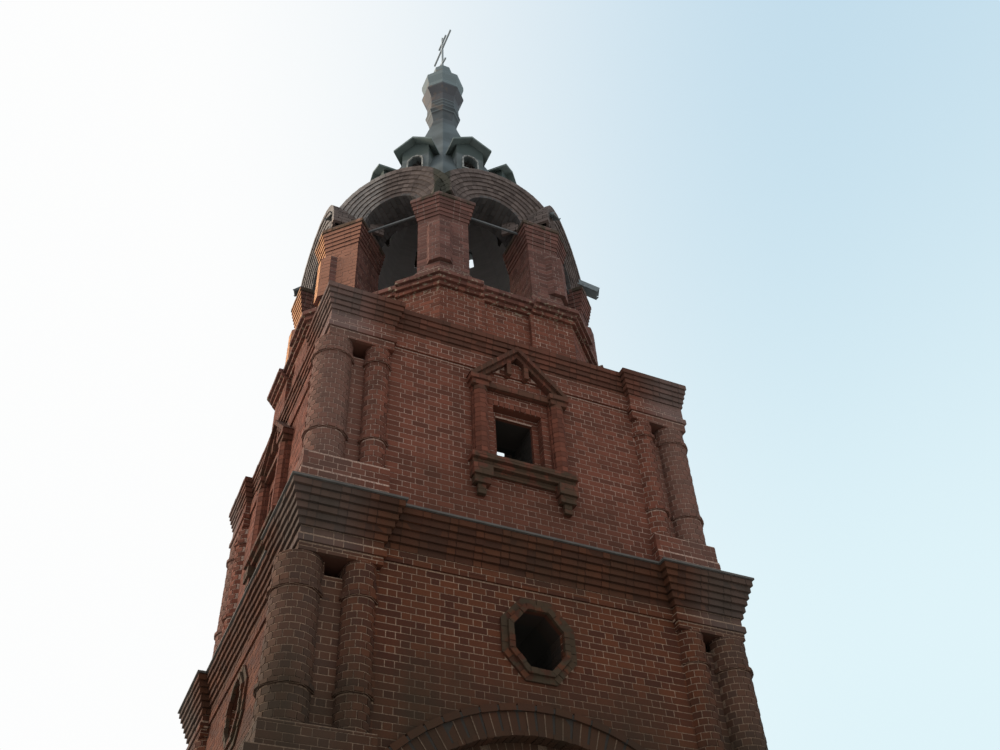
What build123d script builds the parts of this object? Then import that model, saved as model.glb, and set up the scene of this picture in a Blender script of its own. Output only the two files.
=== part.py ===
from build123d import *
import os
from math import acos, atan2, cos, degrees, pi, sin, sqrt, tan

# Brick bell tower, in millimetres: z runs up from the ground, the front faces -Y.
# Two square storeys with columned corner piers carry an open octagonal belfry,
# a sheet-metal tent roof with eight dormers, and a cupola with a cross.

# Brickwork
COURSE = 98.0                   # one brick course with its joint

# Lower storey, levels
LOW_TOP = 9950.0
LOW_CORBELS = 6                 # oversailing courses of the cornice
LOW_CORBEL_STEP = 34.0
PEDESTAL_TOP = 6400.0
PEDESTAL_CAP = 120.0
PLINTH_TOP = 480.0
LOW_BASE_TOP = 6750.0           # the block that the columns stand on
LOW_RING_LEVELS = (7225.0, 8495.0)
LOW_CAPITAL = 9010.0            # column tops, underside of the architrave
LOW_STRING = 9130.0

# Lower storey, plan (distances from the tower's axis)
LOW_FRIEZE = 3300.0
LOW_WALL = 3170.0
LOW_RECESS = 3100.0             # brickwork behind and between the columns
LOW_INNER = 2200.0
LOW_BREAK = 2200.0              # inner end of the corner pier's front
LOW_CORNER_COLUMN = (3090.0, 3090.0, 245.0)     # centre from the axis along x and y, radius
LOW_THICK_COLUMN = (3210.0, 2990.0, 283.0)      # the same on the south-west corner
LOW_SPREAD = 190.0              # how much further the south-west pier's foot stands out to the west
LOW_SIDE_COLUMN = (2440.0, 3110.0, 195.0)   # centre along the wall, centre out, radius
PEDESTAL_OUT = 3460.0
PLINTH_OUT = 3700.0

# Portal arch on each side, struck from a centre below its springing
PORTAL_HALF = 2050.0            # half width between the jambs
PORTAL_RADIUS = 2290.0
PORTAL_CENTRE = 4580.0
PORTAL_ORDER = 270.0            # width of the recessed second ring
PORTAL_REBATE = 190.0           # how far the second ring lies back
PORTAL_RING = 300.0             # width of the outer ring
PORTAL_PARTS = 12               # straight parts of its half circle
PORTAL_PROUD = 30.0
HOOD_WIDTH = 62.0
HOOD_PROUD = 62.0

# Eight-sided window over the portal
OCULUS_LEVEL = 8425.0
OCULUS_HALF = (365.0, 425.0)    # half width, half height of the opening
OCULUS_FRAME = 170.0
OCULUS_ROLL = 75.0              # raised inner part of the frame
OCULUS_PROUD = 35.0

# Upper storey, levels
UP_TOP = 14080.0
UP_CORBELS = 5
UP_CORBEL_STEP = 24.0
UP_PLINTH_TOP = 10370.0
UP_BASE_TOP = 10665.0
UP_RING_LEVELS = (11165.0, 12690.0)
UP_CAPITAL = 13050.0
UP_STRING = 13215.0

# Upper storey, plan
UP_FRIEZE = 3165.0
UP_WALL = 3050.0
UP_RECESS = 2980.0
UP_INNER = 2130.0
UP_BREAK = 2130.0
UP_CORNER_COLUMN = (2930.0, 2930.0, 245.0)
UP_THICK_COLUMN = (3010.0, 2900.0, 268.0)
UP_SPREAD = 150.0
UP_SIDE_COLUMN = (2340.0, 3000.0, 172.0)
UP_PLINTH_OUT = 3215.0

# Parts of both storeys' piers
COLUMN_SIDES = 8
RING_PROUD = 32.0
RING_HEIGHT = 66.0
STRING_PROUD = 30.0
PIER_FORWARD = 130.0            # how far the cornice steps out over a pier
POCKET_WIDTH = 250.0            # dark hole between two column tops
POCKET_DEPTH = 300.0
POCKET_HEIGHT = 185.0
CAPPING = 30.0                  # sheet metal laid on the lower cornice
CAPPING_OUT = 35.0

# Corbelled ring inside the upper storey, from the square room to the octagon
CORBEL_STEPS = 6
CORBEL_RISE = 196.0

# Window of the upper storey
WINDOW_HALF = 425.0
WINDOW_SILL = 11385.0
WINDOW_HEAD = 12575.0
REVEAL = 100.0                  # one step of the reveal, sideways
REVEAL_DEPTH = 150.0
POST = (545.0, 800.0)           # inner and outer edge of the posts beside it
POST_PROUD = 60.0
POST_ROLL = 105.0               # radius of the half column on a post
POST_SIDES = 8
CAP_BLOCK_BOTTOM = 12800.0
CAP_BLOCK_TOP = 13000.0
CAP_BLOCK = (520.0, 860.0)
CAP_PROUD = 190.0
HEAD_BAND = (12850.0, 12960.0)
HEAD_PROUD = 105.0
GABLE_FOOT_HALF = 880.0
GABLE_APEX = 13870.0
GABLE_BAND = 150.0              # thickness of the rakes
PENDANT = (120.0, 190.0)        # edges of the two pendants, from the middle
PENDANT_BOTTOM = 13240.0
SILL_HALF = 880.0
SILL_PROUD = 190.0
APRON = 200.0                   # height of the band under the sill courses
BRACKET = (550.0, 850.0)
BRACKET_STEPS = ((0.0, 200.0, 170.0), (25.0, 130.0, 130.0), (90.0, 170.0, 90.0))  # inset, height, proud

# Belfry, an octagon with a pier at each corner (distances to its flats)
PARAPET_PROUD = 150.0           # parapet beyond the belfry's sides
PARAPET_TOP = 15266.0
PEDESTAL_RUN = 850.0            # length of a pier's pedestal on each side of its corner
PEDESTAL_FORWARD = 80.0
NICHE = (560.0, 2250.0)         # hollow behind the parapet in each opening: half width, distance from the axis
# outer flat of each side and how far its arch stands off the middle, from the south side eastwards
BELFRY_SIDES = ((2720.0, 35.0), (2835.0, 0.0), (2800.0, 0.0), (2780.0, 0.0),
                (2750.0, 0.0), (2870.0, 0.0), (2900.0, 0.0), (2765.0, 0.0))
BELFRY_INNER = 1850.0
SILL_TOP = 15560.0
SILL_COURSES = (210.0, 265.0, 320.0)        # reach of each sill course beyond the sides, from below
ARCH_RADIUS = 640.0
ARCH_SPRING = 18190.0
ARCH_RINGS = 7
RING_WIDTH = 100.0
RING_STEP = 25.0
ARC_PARTS = 9                   # straight parts of a half circle
PIER_BASES = ((65.0, 200.0), (30.0, 200.0))  # reach beyond the shaft, height
ROLL_INSET = 177.0              # the roll's centre inside the corner
ROLL_RADIUS = 250.0
ROLL_SIDES = 8
ROLL_LEVELS = (16150.0, 17250.0)
CAP_COURSES = 6
CAP_STEP = 20.0
CAP_TOP = 18110.0
TIE_BAR = 36.0                  # thickness of the iron bars across the openings
TIE_LEVEL = 18000.0
TIE_DEPTH = 190.0               # behind the side's flat
SPOUT_HALF = 105.0
SPOUT_SIDE = 60.0
SPOUT_SHEET = 14.0
SPOUT_RUN = (-350.0, 260.0)     # from the valley out to the lip, measured from the corner
VALLEY_HALF = 100.0             # brick block that carries a spout between two gables
VALLEY_BACK = 60.0              # its front behind the corner
VALLEY_TOP = 18600.0
SPOUT_LEVELS = (18910.0, 18480.0)

# Tent roof, dormers and cupola (distances to the flats)
TENT = ((18900.0, 2280.0), (21750.0, 1370.0), (23500.0, 745.0), (24800.0, 395.0))   # height, flats
SHEET = 60.0
DORMER_FRONT = 1800.0
DORMER_WALL = 1630.0
DORMER_HALF = 475.0
DORMER_WALL_HALF = 330.0
DORMER_RISE = 310.0
DORMER_FOOT = 21000.0
DORMER_HEIGHT = 850.0           # from its foot to the eaves
DORMER_OPENING = 165.0
DORMER_SILL = 110.0
DORMER_HEAD = 600.0
DORMER_ARC_PARTS = 6
NECK = ((24800.0, 395.0), (25110.0, 325.0), (25330.0, 360.0), (25540.0, 425.0), (25600.0, 425.0), (25660.0, 395.0))
SKIRT = ((25660.0, 395.0), (25960.0, 385.0), (26250.0, 400.0), (26520.0, 520.0), (26590.0, 520.0))
CUPOLA = ((26590.0, 500.0), (26800.0, 480.0), (27040.0, 528.0), (27190.0, 528.0), (27600.0, 255.0))
CUPOLA_CAP = ((27600.0, 225.0), (27930.0, 245.0), (27975.0, 245.0), (28030.0, 50.0))
CROSS_BAR = 46.0                # thickness of the cross's bars
CROSS_HEIGHT = 1950.0
CROSS_ARMS = ((0.70, 620.0), (0.865, 260.0))    # share of the height, half length
CROSS_FOOT = (0.27, 250.0, 25.0)                # share of the height, half length, slope

# Corners and sides in the order of quarter turns, each from the first one's place
CORNERS = ("ne", "nw", "sw", "se")
SIDES = ("south", "east", "north", "west")

os.makedirs("parts", exist_ok=True)


def save(solids, node):
    """Write one node; a list of solids is kept as one compound."""
    shape = solids if isinstance(solids, (Part, Solid, Compound)) else Compound(children=list(solids))
    export_step(shape, f"parts/{node}.step")


def block(x0, x1, y0, y1, z0, z1):
    """A box between six planes."""
    return Pos((x0 + x1) / 2, (y0 + y1) / 2, (z0 + z1) / 2) * Box(abs(x1 - x0), abs(y1 - y0), abs(z1 - z0))


def corner_block(inner, outer, z0, z1, spread=0.0):
    """A block over the corner where x and y are both positive; a spread makes it reach further along x."""
    return block(inner, outer + spread, inner, outer, z0, z1)


def prism(points, z0, z1):
    """An upright prism over a closed outline."""
    return Pos(0, 0, z0) * extrude(make_face(Polyline(*points, close=True)), z1 - z0)


def wall_prism(points, y_front, y_back):
    """A prism through a wall: the outline lies in x and z, the depth runs from front to back."""
    face = make_face(Polyline(*[(x, -y_front, z) for x, z in points], close=True))
    return extrude(face, y_front - y_back, dir=(0, 1, 0))


def round_points(x, y, radius, sides, turn=0.5):
    """Corners of a regular outline whose flats lie at the given radius."""
    reach = radius / cos(pi / sides)
    return [(x + reach * cos(2 * pi * (i + turn) / sides), y + reach * sin(2 * pi * (i + turn) / sides))
            for i in range(sides)]


def octagon(flat, z0, z1):
    """An upright eight-sided prism with a flat towards the front."""
    return prism(round_points(0, 0, flat, 8), z0, z1)


def arc(radius, z, parts, start=0.0):
    """Points of an arch, from its right springing over the crown to the left."""
    return [(radius * cos(start + (pi - 2 * start) * i / parts), z + radius * sin(start + (pi - 2 * start) * i / parts))
            for i in range(parts + 1)]


def turned(shape, angle):
    return Rot(0, 0, angle) * shape


def column(x, y, radius, z0, z1, rings):
    """A brick column with projecting rings."""
    shaft = prism(round_points(x, y, radius, COLUMN_SIDES), z0, z1)
    for level in rings:
        shaft += prism(round_points(x, y, radius + RING_PROUD, COLUMN_SIDES), level, level + RING_HEIGHT)
    return shaft


def side_columns(size, z0, z1, rings):
    """The two half columns that stand beside a corner column."""
    along, out, radius = size
    return column(along, out, radius, z0, z1, rings) + column(out, along, radius, z0, z1, rings)


def column_pocket(side, corner, recess, top):
    """The hole under the architrave, between the tops of two columns, on both faces."""
    x, y = [((side[0] + side[2]) + (place - corner[2])) / 2 for place in corner[:2]]
    hole = block(x - POCKET_WIDTH / 2, x + POCKET_WIDTH / 2,
                 recess - POCKET_DEPTH, recess + POCKET_DEPTH, top - POCKET_HEIGHT, top)
    turned_hole = block(recess - POCKET_DEPTH, recess + POCKET_DEPTH,
                        y - POCKET_WIDTH / 2, y + POCKET_WIDTH / 2, top - POCKET_HEIGHT, top)
    return hole + turned_hole


def portal_spring():
    """Level at which the arch meets its jambs."""
    return PORTAL_CENTRE + sqrt(PORTAL_RADIUS ** 2 - PORTAL_HALF ** 2)


def make_lower_pier(corner_column, spread):
    top = LOW_TOP - LOW_CORBELS * COURSE
    spring = portal_spring()
    along = LOW_SIDE_COLUMN[0]
    pier = corner_block(PORTAL_HALF, LOW_WALL - PORTAL_REBATE, 0, spring)
    pier += corner_block(LOW_BREAK, LOW_RECESS, 0, top)
    # plain wall between the half column and the pier's edge, on both faces
    pier += block(LOW_BREAK, along, LOW_INNER, LOW_WALL, 0, top)
    pier += block(LOW_INNER, LOW_WALL, LOW_BREAK, along, 0, top)
    pier += corner_block(LOW_BREAK, PEDESTAL_OUT, 0, PEDESTAL_TOP, spread)
    pier += corner_block(LOW_BREAK - STRING_PROUD, PEDESTAL_OUT + STRING_PROUD,
                         PEDESTAL_TOP - PEDESTAL_CAP, PEDESTAL_TOP, spread)
    pier += corner_block(LOW_BREAK - STRING_PROUD, PLINTH_OUT, 0, PLINTH_TOP)
    pier += corner_block(LOW_BREAK, LOW_FRIEZE + 2 * STRING_PROUD, PEDESTAL_TOP, LOW_BASE_TOP, spread)
    pier += side_columns(LOW_SIDE_COLUMN, LOW_BASE_TOP, LOW_CAPITAL, LOW_RING_LEVELS)
    pier += column(*corner_column, LOW_BASE_TOP, LOW_CAPITAL, LOW_RING_LEVELS)
    pier += corner_block(LOW_BREAK, LOW_FRIEZE, LOW_CAPITAL, top)
    pier += corner_block(LOW_BREAK - STRING_PROUD, LOW_FRIEZE + STRING_PROUD, LOW_STRING, LOW_STRING + COURSE)
    # the pier stays clear of the storey's room and of the walls that meet it
    pier -= block(0, LOW_INNER, 0, LOW_INNER, spring, LOW_TOP)
    pier -= block(0, LOW_BREAK, 0, LOW_WALL + STRING_PROUD, spring, LOW_TOP)
    pier -= block(0, LOW_WALL + STRING_PROUD, 0, LOW_BREAK, spring, LOW_TOP)
    return pier - column_pocket(LOW_SIDE_COLUMN, corner_column, LOW_RECESS, LOW_CAPITAL)


def make_lower_wall():
    """The wall over the portal, with its stepped arch and the eight-sided window."""
    top = LOW_TOP - LOW_CORBELS * COURSE
    spring = portal_spring()
    wall = block(-LOW_BREAK, LOW_BREAK, -LOW_WALL, -LOW_INNER, spring, top)
    wall += block(-LOW_BREAK, LOW_BREAK, -LOW_WALL - STRING_PROUD, -LOW_INNER, LOW_STRING + COURSE / 2, top)
    start = acos(PORTAL_HALF / PORTAL_RADIUS)
    opening = arc(PORTAL_RADIUS, PORTAL_CENTRE, PORTAL_PARTS, start)
    wall -= wall_prism([(PORTAL_HALF, spring - COURSE)] + opening + [(-PORTAL_HALF, spring - COURSE)],
                       LOW_WALL + COURSE, 0)
    order = arc(PORTAL_RADIUS + PORTAL_ORDER, PORTAL_CENTRE, PORTAL_PARTS)
    wall -= wall_prism(order, LOW_WALL + COURSE, LOW_WALL - PORTAL_REBATE)
    return wall - wall_prism(oculus_points(0), LOW_WALL + COURSE, 0)


def oculus_points(extra):
    """The eight corners of the window or its frame, taller than wide."""
    half, rise = OCULUS_HALF[0] + extra, OCULUS_HALF[1] + extra
    cut = tan(pi / 8)
    return [(sx * half * a, OCULUS_LEVEL + sz * rise * b) for sx, sz, a, b in (
        (1, 1, 1, cut), (1, 1, cut, 1), (-1, 1, cut, 1), (-1, 1, 1, cut),
        (-1, -1, 1, cut), (-1, -1, cut, 1), (1, -1, cut, 1), (1, -1, 1, cut))]


def make_oculus_frame():
    """Moulded brick ring round the window: a flat band with a raised inner roll."""
    outer = wall_prism(oculus_points(OCULUS_FRAME), LOW_WALL + OCULUS_PROUD, LOW_WALL)
    outer += wall_prism(oculus_points(OCULUS_ROLL), LOW_WALL + 2 * OCULUS_PROUD, LOW_WALL)
    return outer - wall_prism(oculus_points(0), LOW_WALL + 3 * OCULUS_PROUD, 0)


def ring_points(outer, inner, centre):
    """Half ring of an arch."""
    return arc(outer, centre, PORTAL_PARTS) + arc(inner, centre, PORTAL_PARTS)[::-1]


def make_portal_arch():
    """The arch's outer ring with its hood, cut off by the piers beside it."""
    inner = PORTAL_RADIUS + PORTAL_ORDER
    outer = inner + PORTAL_RING
    ring = wall_prism(ring_points(outer, inner, PORTAL_CENTRE), LOW_WALL + PORTAL_PROUD, LOW_WALL)
    ring += wall_prism(ring_points(outer + HOOD_WIDTH, outer, PORTAL_CENTRE), LOW_WALL + HOOD_PROUD, LOW_WALL)
    edge = LOW_BREAK - STRING_PROUD
    for side in (1, -1):
        ring -= block(side * edge, side * 2 * outer, -2 * LOW_WALL, 0, 0, PEDESTAL_TOP)
        ring -= block(side * LOW_BREAK, side * 2 * outer, -2 * LOW_WALL, 0, 0, LOW_TOP)
    return ring


def cornice_layer(reach, end, forward, inner, z0, z1):
    """One course of a cornice: a square ring whose corners stand forward over the piers."""
    shape = block(-reach + forward, reach - forward, -reach + forward, reach - forward, z0, z1)
    for sx in (1, -1):
        for sy in (1, -1):
            xs = sorted((sx * end, sx * reach))
            ys = sorted((sy * end, sy * reach))
            shape += block(xs[0], xs[1], ys[0], ys[1], z0, z1)
    return shape - inner


def cornice(frieze, step, courses, top, break_at, inner):
    """Courses that oversail one another up to the storey's top edge."""
    shape = None
    for i in range(courses):
        z0 = top - (courses - i) * COURSE
        reach = frieze + step * (i + 1)
        layer = cornice_layer(reach, break_at - step * (i + 1), PIER_FORWARD, inner, z0, z0 + COURSE)
        shape = layer if shape is None else shape + layer
    return shape


def make_capping():
    """Sheet metal laid on the lower cornice, round the upper storey."""
    reach = LOW_FRIEZE + LOW_CORBELS * LOW_CORBEL_STEP + CAPPING_OUT
    end = LOW_BREAK - LOW_CORBELS * LOW_CORBEL_STEP - CAPPING_OUT
    sheet = cornice_layer(reach, end, PIER_FORWARD, block(-UP_WALL, UP_WALL, -UP_WALL, UP_WALL, 0, UP_TOP),
                          LOW_TOP, LOW_TOP + CAPPING)
    for i in range(4):
        spread = UP_SPREAD if CORNERS[i] == "sw" else 0
        sheet -= turned(corner_block(UP_BREAK, UP_PLINTH_OUT, LOW_TOP, UP_TOP, spread), 90 * i)
    return sheet


def make_upper_pier(corner_column, spread):
    top = UP_TOP - UP_CORBELS * COURSE
    pier = corner_block(UP_INNER, UP_RECESS, LOW_TOP, top)
    pier += corner_block(UP_BREAK, UP_PLINTH_OUT, LOW_TOP, UP_PLINTH_TOP, spread)
    pier += corner_block(UP_BREAK, UP_PLINTH_OUT - STRING_PROUD / 2, UP_PLINTH_TOP, UP_BASE_TOP, spread)
    along = UP_SIDE_COLUMN[0]
    pier += block(UP_BREAK, along, UP_INNER, UP_WALL, LOW_TOP, top)
    pier += block(UP_INNER, UP_WALL, UP_BREAK, along, LOW_TOP, top)
    pier += side_columns(UP_SIDE_COLUMN, UP_BASE_TOP, UP_CAPITAL, UP_RING_LEVELS)
    pier += column(*corner_column, UP_BASE_TOP, UP_CAPITAL, UP_RING_LEVELS)
    pier += corner_block(UP_BREAK, UP_FRIEZE, UP_CAPITAL, top)
    pier += corner_block(UP_BREAK - STRING_PROUD, UP_FRIEZE + STRING_PROUD, UP_STRING, UP_STRING + COURSE)
    pier -= block(0, UP_INNER, 0, UP_INNER, 0, UP_TOP)
    pier -= block(0, UP_BREAK, 0, UP_WALL + STRING_PROUD, 0, UP_TOP)
    pier -= block(0, UP_WALL + STRING_PROUD, 0, UP_BREAK, 0, UP_TOP)
    return pier - column_pocket(UP_SIDE_COLUMN, corner_column, UP_RECESS, UP_CAPITAL)


def make_inner_corbels():
    """Courses that step in from the square room's walls and corners to the octagon above."""
    corner = UP_INNER * sqrt(2)
    shape = None
    for i in range(CORBEL_STEPS):
        share = (i + 1) / CORBEL_STEPS
        flat = UP_INNER - (UP_INNER - BELFRY_INNER) * share
        slant = (corner - (corner - BELFRY_INNER) * share) * sqrt(2)
        z0 = UP_TOP - (CORBEL_STEPS - i) * CORBEL_RISE
        hole = block(-flat, flat, -flat, flat, z0, z0 + CORBEL_RISE)
        hole &= prism([(slant, 0), (0, slant), (-slant, 0), (0, -slant)], z0, z0 + CORBEL_RISE)
        step = block(-UP_INNER, UP_INNER, -UP_INNER, UP_INNER, z0, z0 + CORBEL_RISE) - hole
        shape = step if shape is None else shape + step
    return shape


def make_upper_wall():
    """Wall between two upper piers, with the stepped window opening."""
    top = UP_TOP - UP_CORBELS * COURSE
    wall = block(-UP_BREAK, UP_BREAK, -UP_WALL, -UP_INNER, LOW_TOP, top)
    wall += block(-UP_BREAK, UP_BREAK, -UP_WALL - STRING_PROUD, -UP_INNER, UP_STRING + COURSE / 2, top)
    inner = WINDOW_HALF - REVEAL
    wall -= block(-inner, inner, -UP_TOP, 0, WINDOW_SILL, WINDOW_HEAD - REVEAL)
    wall -= block(-WINDOW_HALF, WINDOW_HALF, -UP_TOP, -UP_WALL + REVEAL_DEPTH, WINDOW_SILL, WINDOW_HEAD)
    return wall - make_window_surround()


def proud_block(x0, x1, proud, z0, z1):
    """A block on the upper wall's face, and its mirror image."""
    return (block(x0, x1, -UP_WALL - proud, -UP_WALL, z0, z1)
            + block(-x1, -x0, -UP_WALL - proud, -UP_WALL, z0, z1))


def make_window_surround():
    """Posts with half columns, cap blocks, gable with pendants, sill and brackets of brick."""
    surround = proud_block(POST[0], POST[1], POST_PROUD, WINDOW_SILL, CAP_BLOCK_BOTTOM)
    middle = (POST[0] + POST[1]) / 2
    for side in (1, -1):
        roll = prism(round_points(side * middle, -UP_WALL - POST_PROUD, POST_ROLL, POST_SIDES),
                     WINDOW_SILL, CAP_BLOCK_BOTTOM)
        surround += roll & block(-UP_BREAK, UP_BREAK, -2 * UP_WALL, -UP_WALL, 0, UP_TOP)
    surround += proud_block(CAP_BLOCK[0], CAP_BLOCK[1], CAP_PROUD, CAP_BLOCK_BOTTOM + COURSE, CAP_BLOCK_TOP)
    surround += proud_block(CAP_BLOCK[0] + STRING_PROUD, CAP_BLOCK[1] - STRING_PROUD, CAP_PROUD - STRING_PROUD,
                            CAP_BLOCK_BOTTOM, CAP_BLOCK_BOTTOM + COURSE)
    surround += block(-POST[1], POST[1], -UP_WALL - HEAD_PROUD, -UP_WALL, HEAD_BAND[0], HEAD_BAND[1])
    # the rakes of the gable: a wide band with a narrower one on its upper edge
    slope = (GABLE_APEX - CAP_BLOCK_TOP) / GABLE_FOOT_HALF
    drop = GABLE_BAND * sqrt(1 + slope ** 2)
    for depth, proud in ((drop, CAP_PROUD - 2 * STRING_PROUD), (drop / 2, CAP_PROUD)):
        rakes = wall_prism([(GABLE_FOOT_HALF, CAP_BLOCK_TOP), (0, GABLE_APEX), (-GABLE_FOOT_HALF, CAP_BLOCK_TOP),
                            (-GABLE_FOOT_HALF + depth / slope, CAP_BLOCK_TOP), (0, GABLE_APEX - depth),
                            (GABLE_FOOT_HALF - depth / slope, CAP_BLOCK_TOP)], UP_WALL + proud, UP_WALL)
        surround += rakes
    surround += proud_block(PENDANT[0], PENDANT[1], CAP_PROUD - 2 * STRING_PROUD, PENDANT_BOTTOM,
                            GABLE_APEX - drop / 2 - slope * PENDANT[1])
    # sill courses, the band under them and the brackets
    surround += block(-SILL_HALF, SILL_HALF, -UP_WALL - SILL_PROUD, -UP_WALL, WINDOW_SILL - COURSE, WINDOW_SILL)
    surround += block(-SILL_HALF + STRING_PROUD, SILL_HALF - STRING_PROUD, -UP_WALL - SILL_PROUD + 2 * STRING_PROUD,
                      -UP_WALL, WINDOW_SILL - 2 * COURSE, WINDOW_SILL - COURSE)
    under = WINDOW_SILL - 2 * COURSE
    surround += block(-POST[0], POST[0], -UP_WALL - POST_PROUD, -UP_WALL, under - APRON / 2, under)
    z1 = under
    for inset, height, proud in BRACKET_STEPS:
        surround += proud_block(BRACKET[0] + inset, BRACKET[1] - inset, proud, z1 - height, z1)
        z1 -= height
    return surround


def face_frame(shape):
    """Copies of a front face's shape on all eight sides of the octagon."""
    return [turned(shape, 45 * i) for i in range(8)]


def side_point(i, along, out):
    """Point of the plan given along a side of the octagon and outwards from the axis."""
    angle = pi / 4 * i
    return along * cos(angle) + out * sin(angle), along * sin(angle) - out * cos(angle)


def corner_along(i, step, extra):
    """Where the flats of a side and of its neighbour meet, measured along the side."""
    flat, other = [BELFRY_SIDES[k % 8][0] + extra for k in (i, i + step)]
    return step * (other * sqrt(2) - flat)


def belfry_corner(i, extra=0.0):
    """Corner between a side and the next one, with both flats moved out by extra."""
    return side_point(i, corner_along(i, 1, extra), BELFRY_SIDES[i % 8][0] + extra)


def inner_corner(i):
    return side_point(i + 0.5, 0, BELFRY_INNER / cos(pi / 8))


def pedestal_ring(proud, z0, z1):
    """Course round the open middle that stands forward under the piers."""
    ring = prism([belfry_corner(i, proud) for i in range(8)], z0, z1) - octagon(BELFRY_INNER, z0, z1)
    for i in range(8):
        flat = BELFRY_SIDES[i][0] + proud
        ring -= turned(block(corner_along(i, -1, proud) + PEDESTAL_RUN, corner_along(i, 1, proud) - PEDESTAL_RUN,
                             -2 * flat, -flat + PEDESTAL_FORWARD, z0, z1), 45 * i)
        ring -= turned(block(-NICHE[0], NICHE[0], -NICHE[1], 0, z0, z1), 45 * i)
    return ring


def make_belfry_arch(i, tent):
    """One side of the belfry over the piers: stepped rings that end in a round gable."""
    flat, shift = BELFRY_SIDES[i]
    outer = ARCH_RADIUS + ARCH_RINGS * RING_WIDTH
    wall = wall_prism([(outer, CAP_TOP)] + arc(outer, ARCH_SPRING, ARC_PARTS) + [(-outer, CAP_TOP)],
                      flat, BELFRY_INNER)
    for k in range(ARCH_RINGS):
        radius = ARCH_RADIUS + k * RING_WIDTH
        depth = flat - (ARCH_RINGS - k) * RING_STEP if k else 0
        cut = [(radius, CAP_TOP)] + arc(radius, ARCH_SPRING, ARC_PARTS) + [(-radius, CAP_TOP)]
        wall -= wall_prism(cut, 2 * flat, depth)
    eighth = prism([inner_corner(i - 1), belfry_corner(i - 1), belfry_corner(i), inner_corner(i)],
                   CAP_TOP, ARCH_SPRING + outer)
    return (turned(Pos(shift, 0, 0) * wall, 45 * i) & eighth) - tent


def pier_points(i, grow):
    """Outline of the pier after a side, grown outwards and into the openings."""
    (flat, shift), (next_flat, next_shift) = BELFRY_SIDES[i], BELFRY_SIDES[(i + 1) % 8]
    half = ARCH_RADIUS - grow
    return [side_point(i, shift + half, BELFRY_INNER), side_point(i, shift + half, flat + grow),
            belfry_corner(i, grow), side_point(i + 1, next_shift - half, next_flat + grow),
            side_point(i + 1, next_shift - half, BELFRY_INNER), inner_corner(i)]


def make_belfry_pier(i):
    """Pier at a corner of the octagon: two base courses, shaft with a roll, oversailing cap."""
    shape = prism(pier_points(i, 0), SILL_TOP, CAP_TOP)
    z0 = SILL_TOP
    for grow, height in PIER_BASES:
        shape += prism(pier_points(i, grow), z0, z0 + height)
        z0 += height
    x, y = belfry_corner(i)
    inset = 1 - ROLL_INSET / sqrt(x ** 2 + y ** 2)
    shape += prism(round_points(x * inset, y * inset, ROLL_RADIUS, ROLL_SIDES), ROLL_LEVELS[0], ROLL_LEVELS[1])
    for k in range(CAP_COURSES):
        z0 = CAP_TOP - (CAP_COURSES - k) * COURSE
        shape += prism(pier_points(i, CAP_STEP * (k + 1)), z0, z0 + COURSE)
    return shape


def at_corner(shape, i):
    """A shape laid out towards the front, turned to face out of a corner of the belfry."""
    x, y = belfry_corner(i)
    return turned(shape, degrees(atan2(y, x)) + 90)


def make_valley(i, arches):
    """Brick block over a pier's cap, between two gables."""
    x, y = belfry_corner(i)
    reach = sqrt(x ** 2 + y ** 2)
    rest = at_corner(block(-VALLEY_HALF, VALLEY_HALF, -reach + VALLEY_BACK, -reach - SPOUT_RUN[0],
                            CAP_TOP, VALLEY_TOP), i)
    return rest - arches[i] - arches[(i + 1) % 8]


def make_tie(i, piers):
    """Iron bar across an opening, between the piers' caps."""
    flat, shift = BELFRY_SIDES[i]
    bar = Pos(shift, TIE_DEPTH - flat, TIE_LEVEL) * Box(2 * ARCH_RADIUS, TIE_BAR, TIE_BAR)
    return turned(bar, 45 * i) - piers[i] - piers[i - 1]


def make_spout(i, arches):
    """Open trough of sheet metal that leads water out of a valley, over a pier."""
    x, y = belfry_corner(i)
    r0, r1 = [sqrt(x ** 2 + y ** 2) + run for run in SPOUT_RUN]
    z0, z1 = SPOUT_LEVELS

    def plate(x0, x1, low, high):
        side = make_face(Polyline((x0, -r0, z0 + low), (x0, -r1, z1 + low), (x0, -r1, z1 + high),
                                  (x0, -r0, z0 + high), close=True))
        return extrude(side, x1 - x0, dir=(1, 0, 0))

    trough = plate(-SPOUT_HALF, SPOUT_HALF, 0, SPOUT_SHEET)
    trough += plate(-SPOUT_HALF, -SPOUT_HALF + SPOUT_SHEET, 0, SPOUT_SIDE)
    trough += plate(SPOUT_HALF - SPOUT_SHEET, SPOUT_HALF, 0, SPOUT_SIDE)
    trough = at_corner(trough, i) - arches[i] - arches[(i + 1) % 8]
    return trough - make_valley(i, arches)


def frustum(z0, flat0, z1, flat1):
    return loft([Pos(0, 0, z0) * make_face(Polyline(*round_points(0, 0, flat0, 8), close=True)),
                 Pos(0, 0, z1) * make_face(Polyline(*round_points(0, 0, flat1, 8), close=True))])


def tent_solid(inset=0.0):
    """The space under the tent's outer or inner face."""
    shape = None
    for (z0, flat0), (z1, flat1) in zip(TENT, TENT[1:]):
        part = frustum(z0, flat0 - inset, z1, flat1 - inset)
        shape = part if shape is None else shape + part
    return shape


def make_tent(tent):
    """Eight-sided hollow roof of sheet metal, steeper towards its top, open into the dormers."""
    shell = tent - tent_solid(SHEET)
    opening = block(-DORMER_OPENING, DORMER_OPENING, -TENT[0][1], 0, DORMER_FOOT + DORMER_SILL,
                    DORMER_FOOT + DORMER_HEAD)
    for i in range(8):
        shell -= turned(opening, 45 * i)
    return shell


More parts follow.
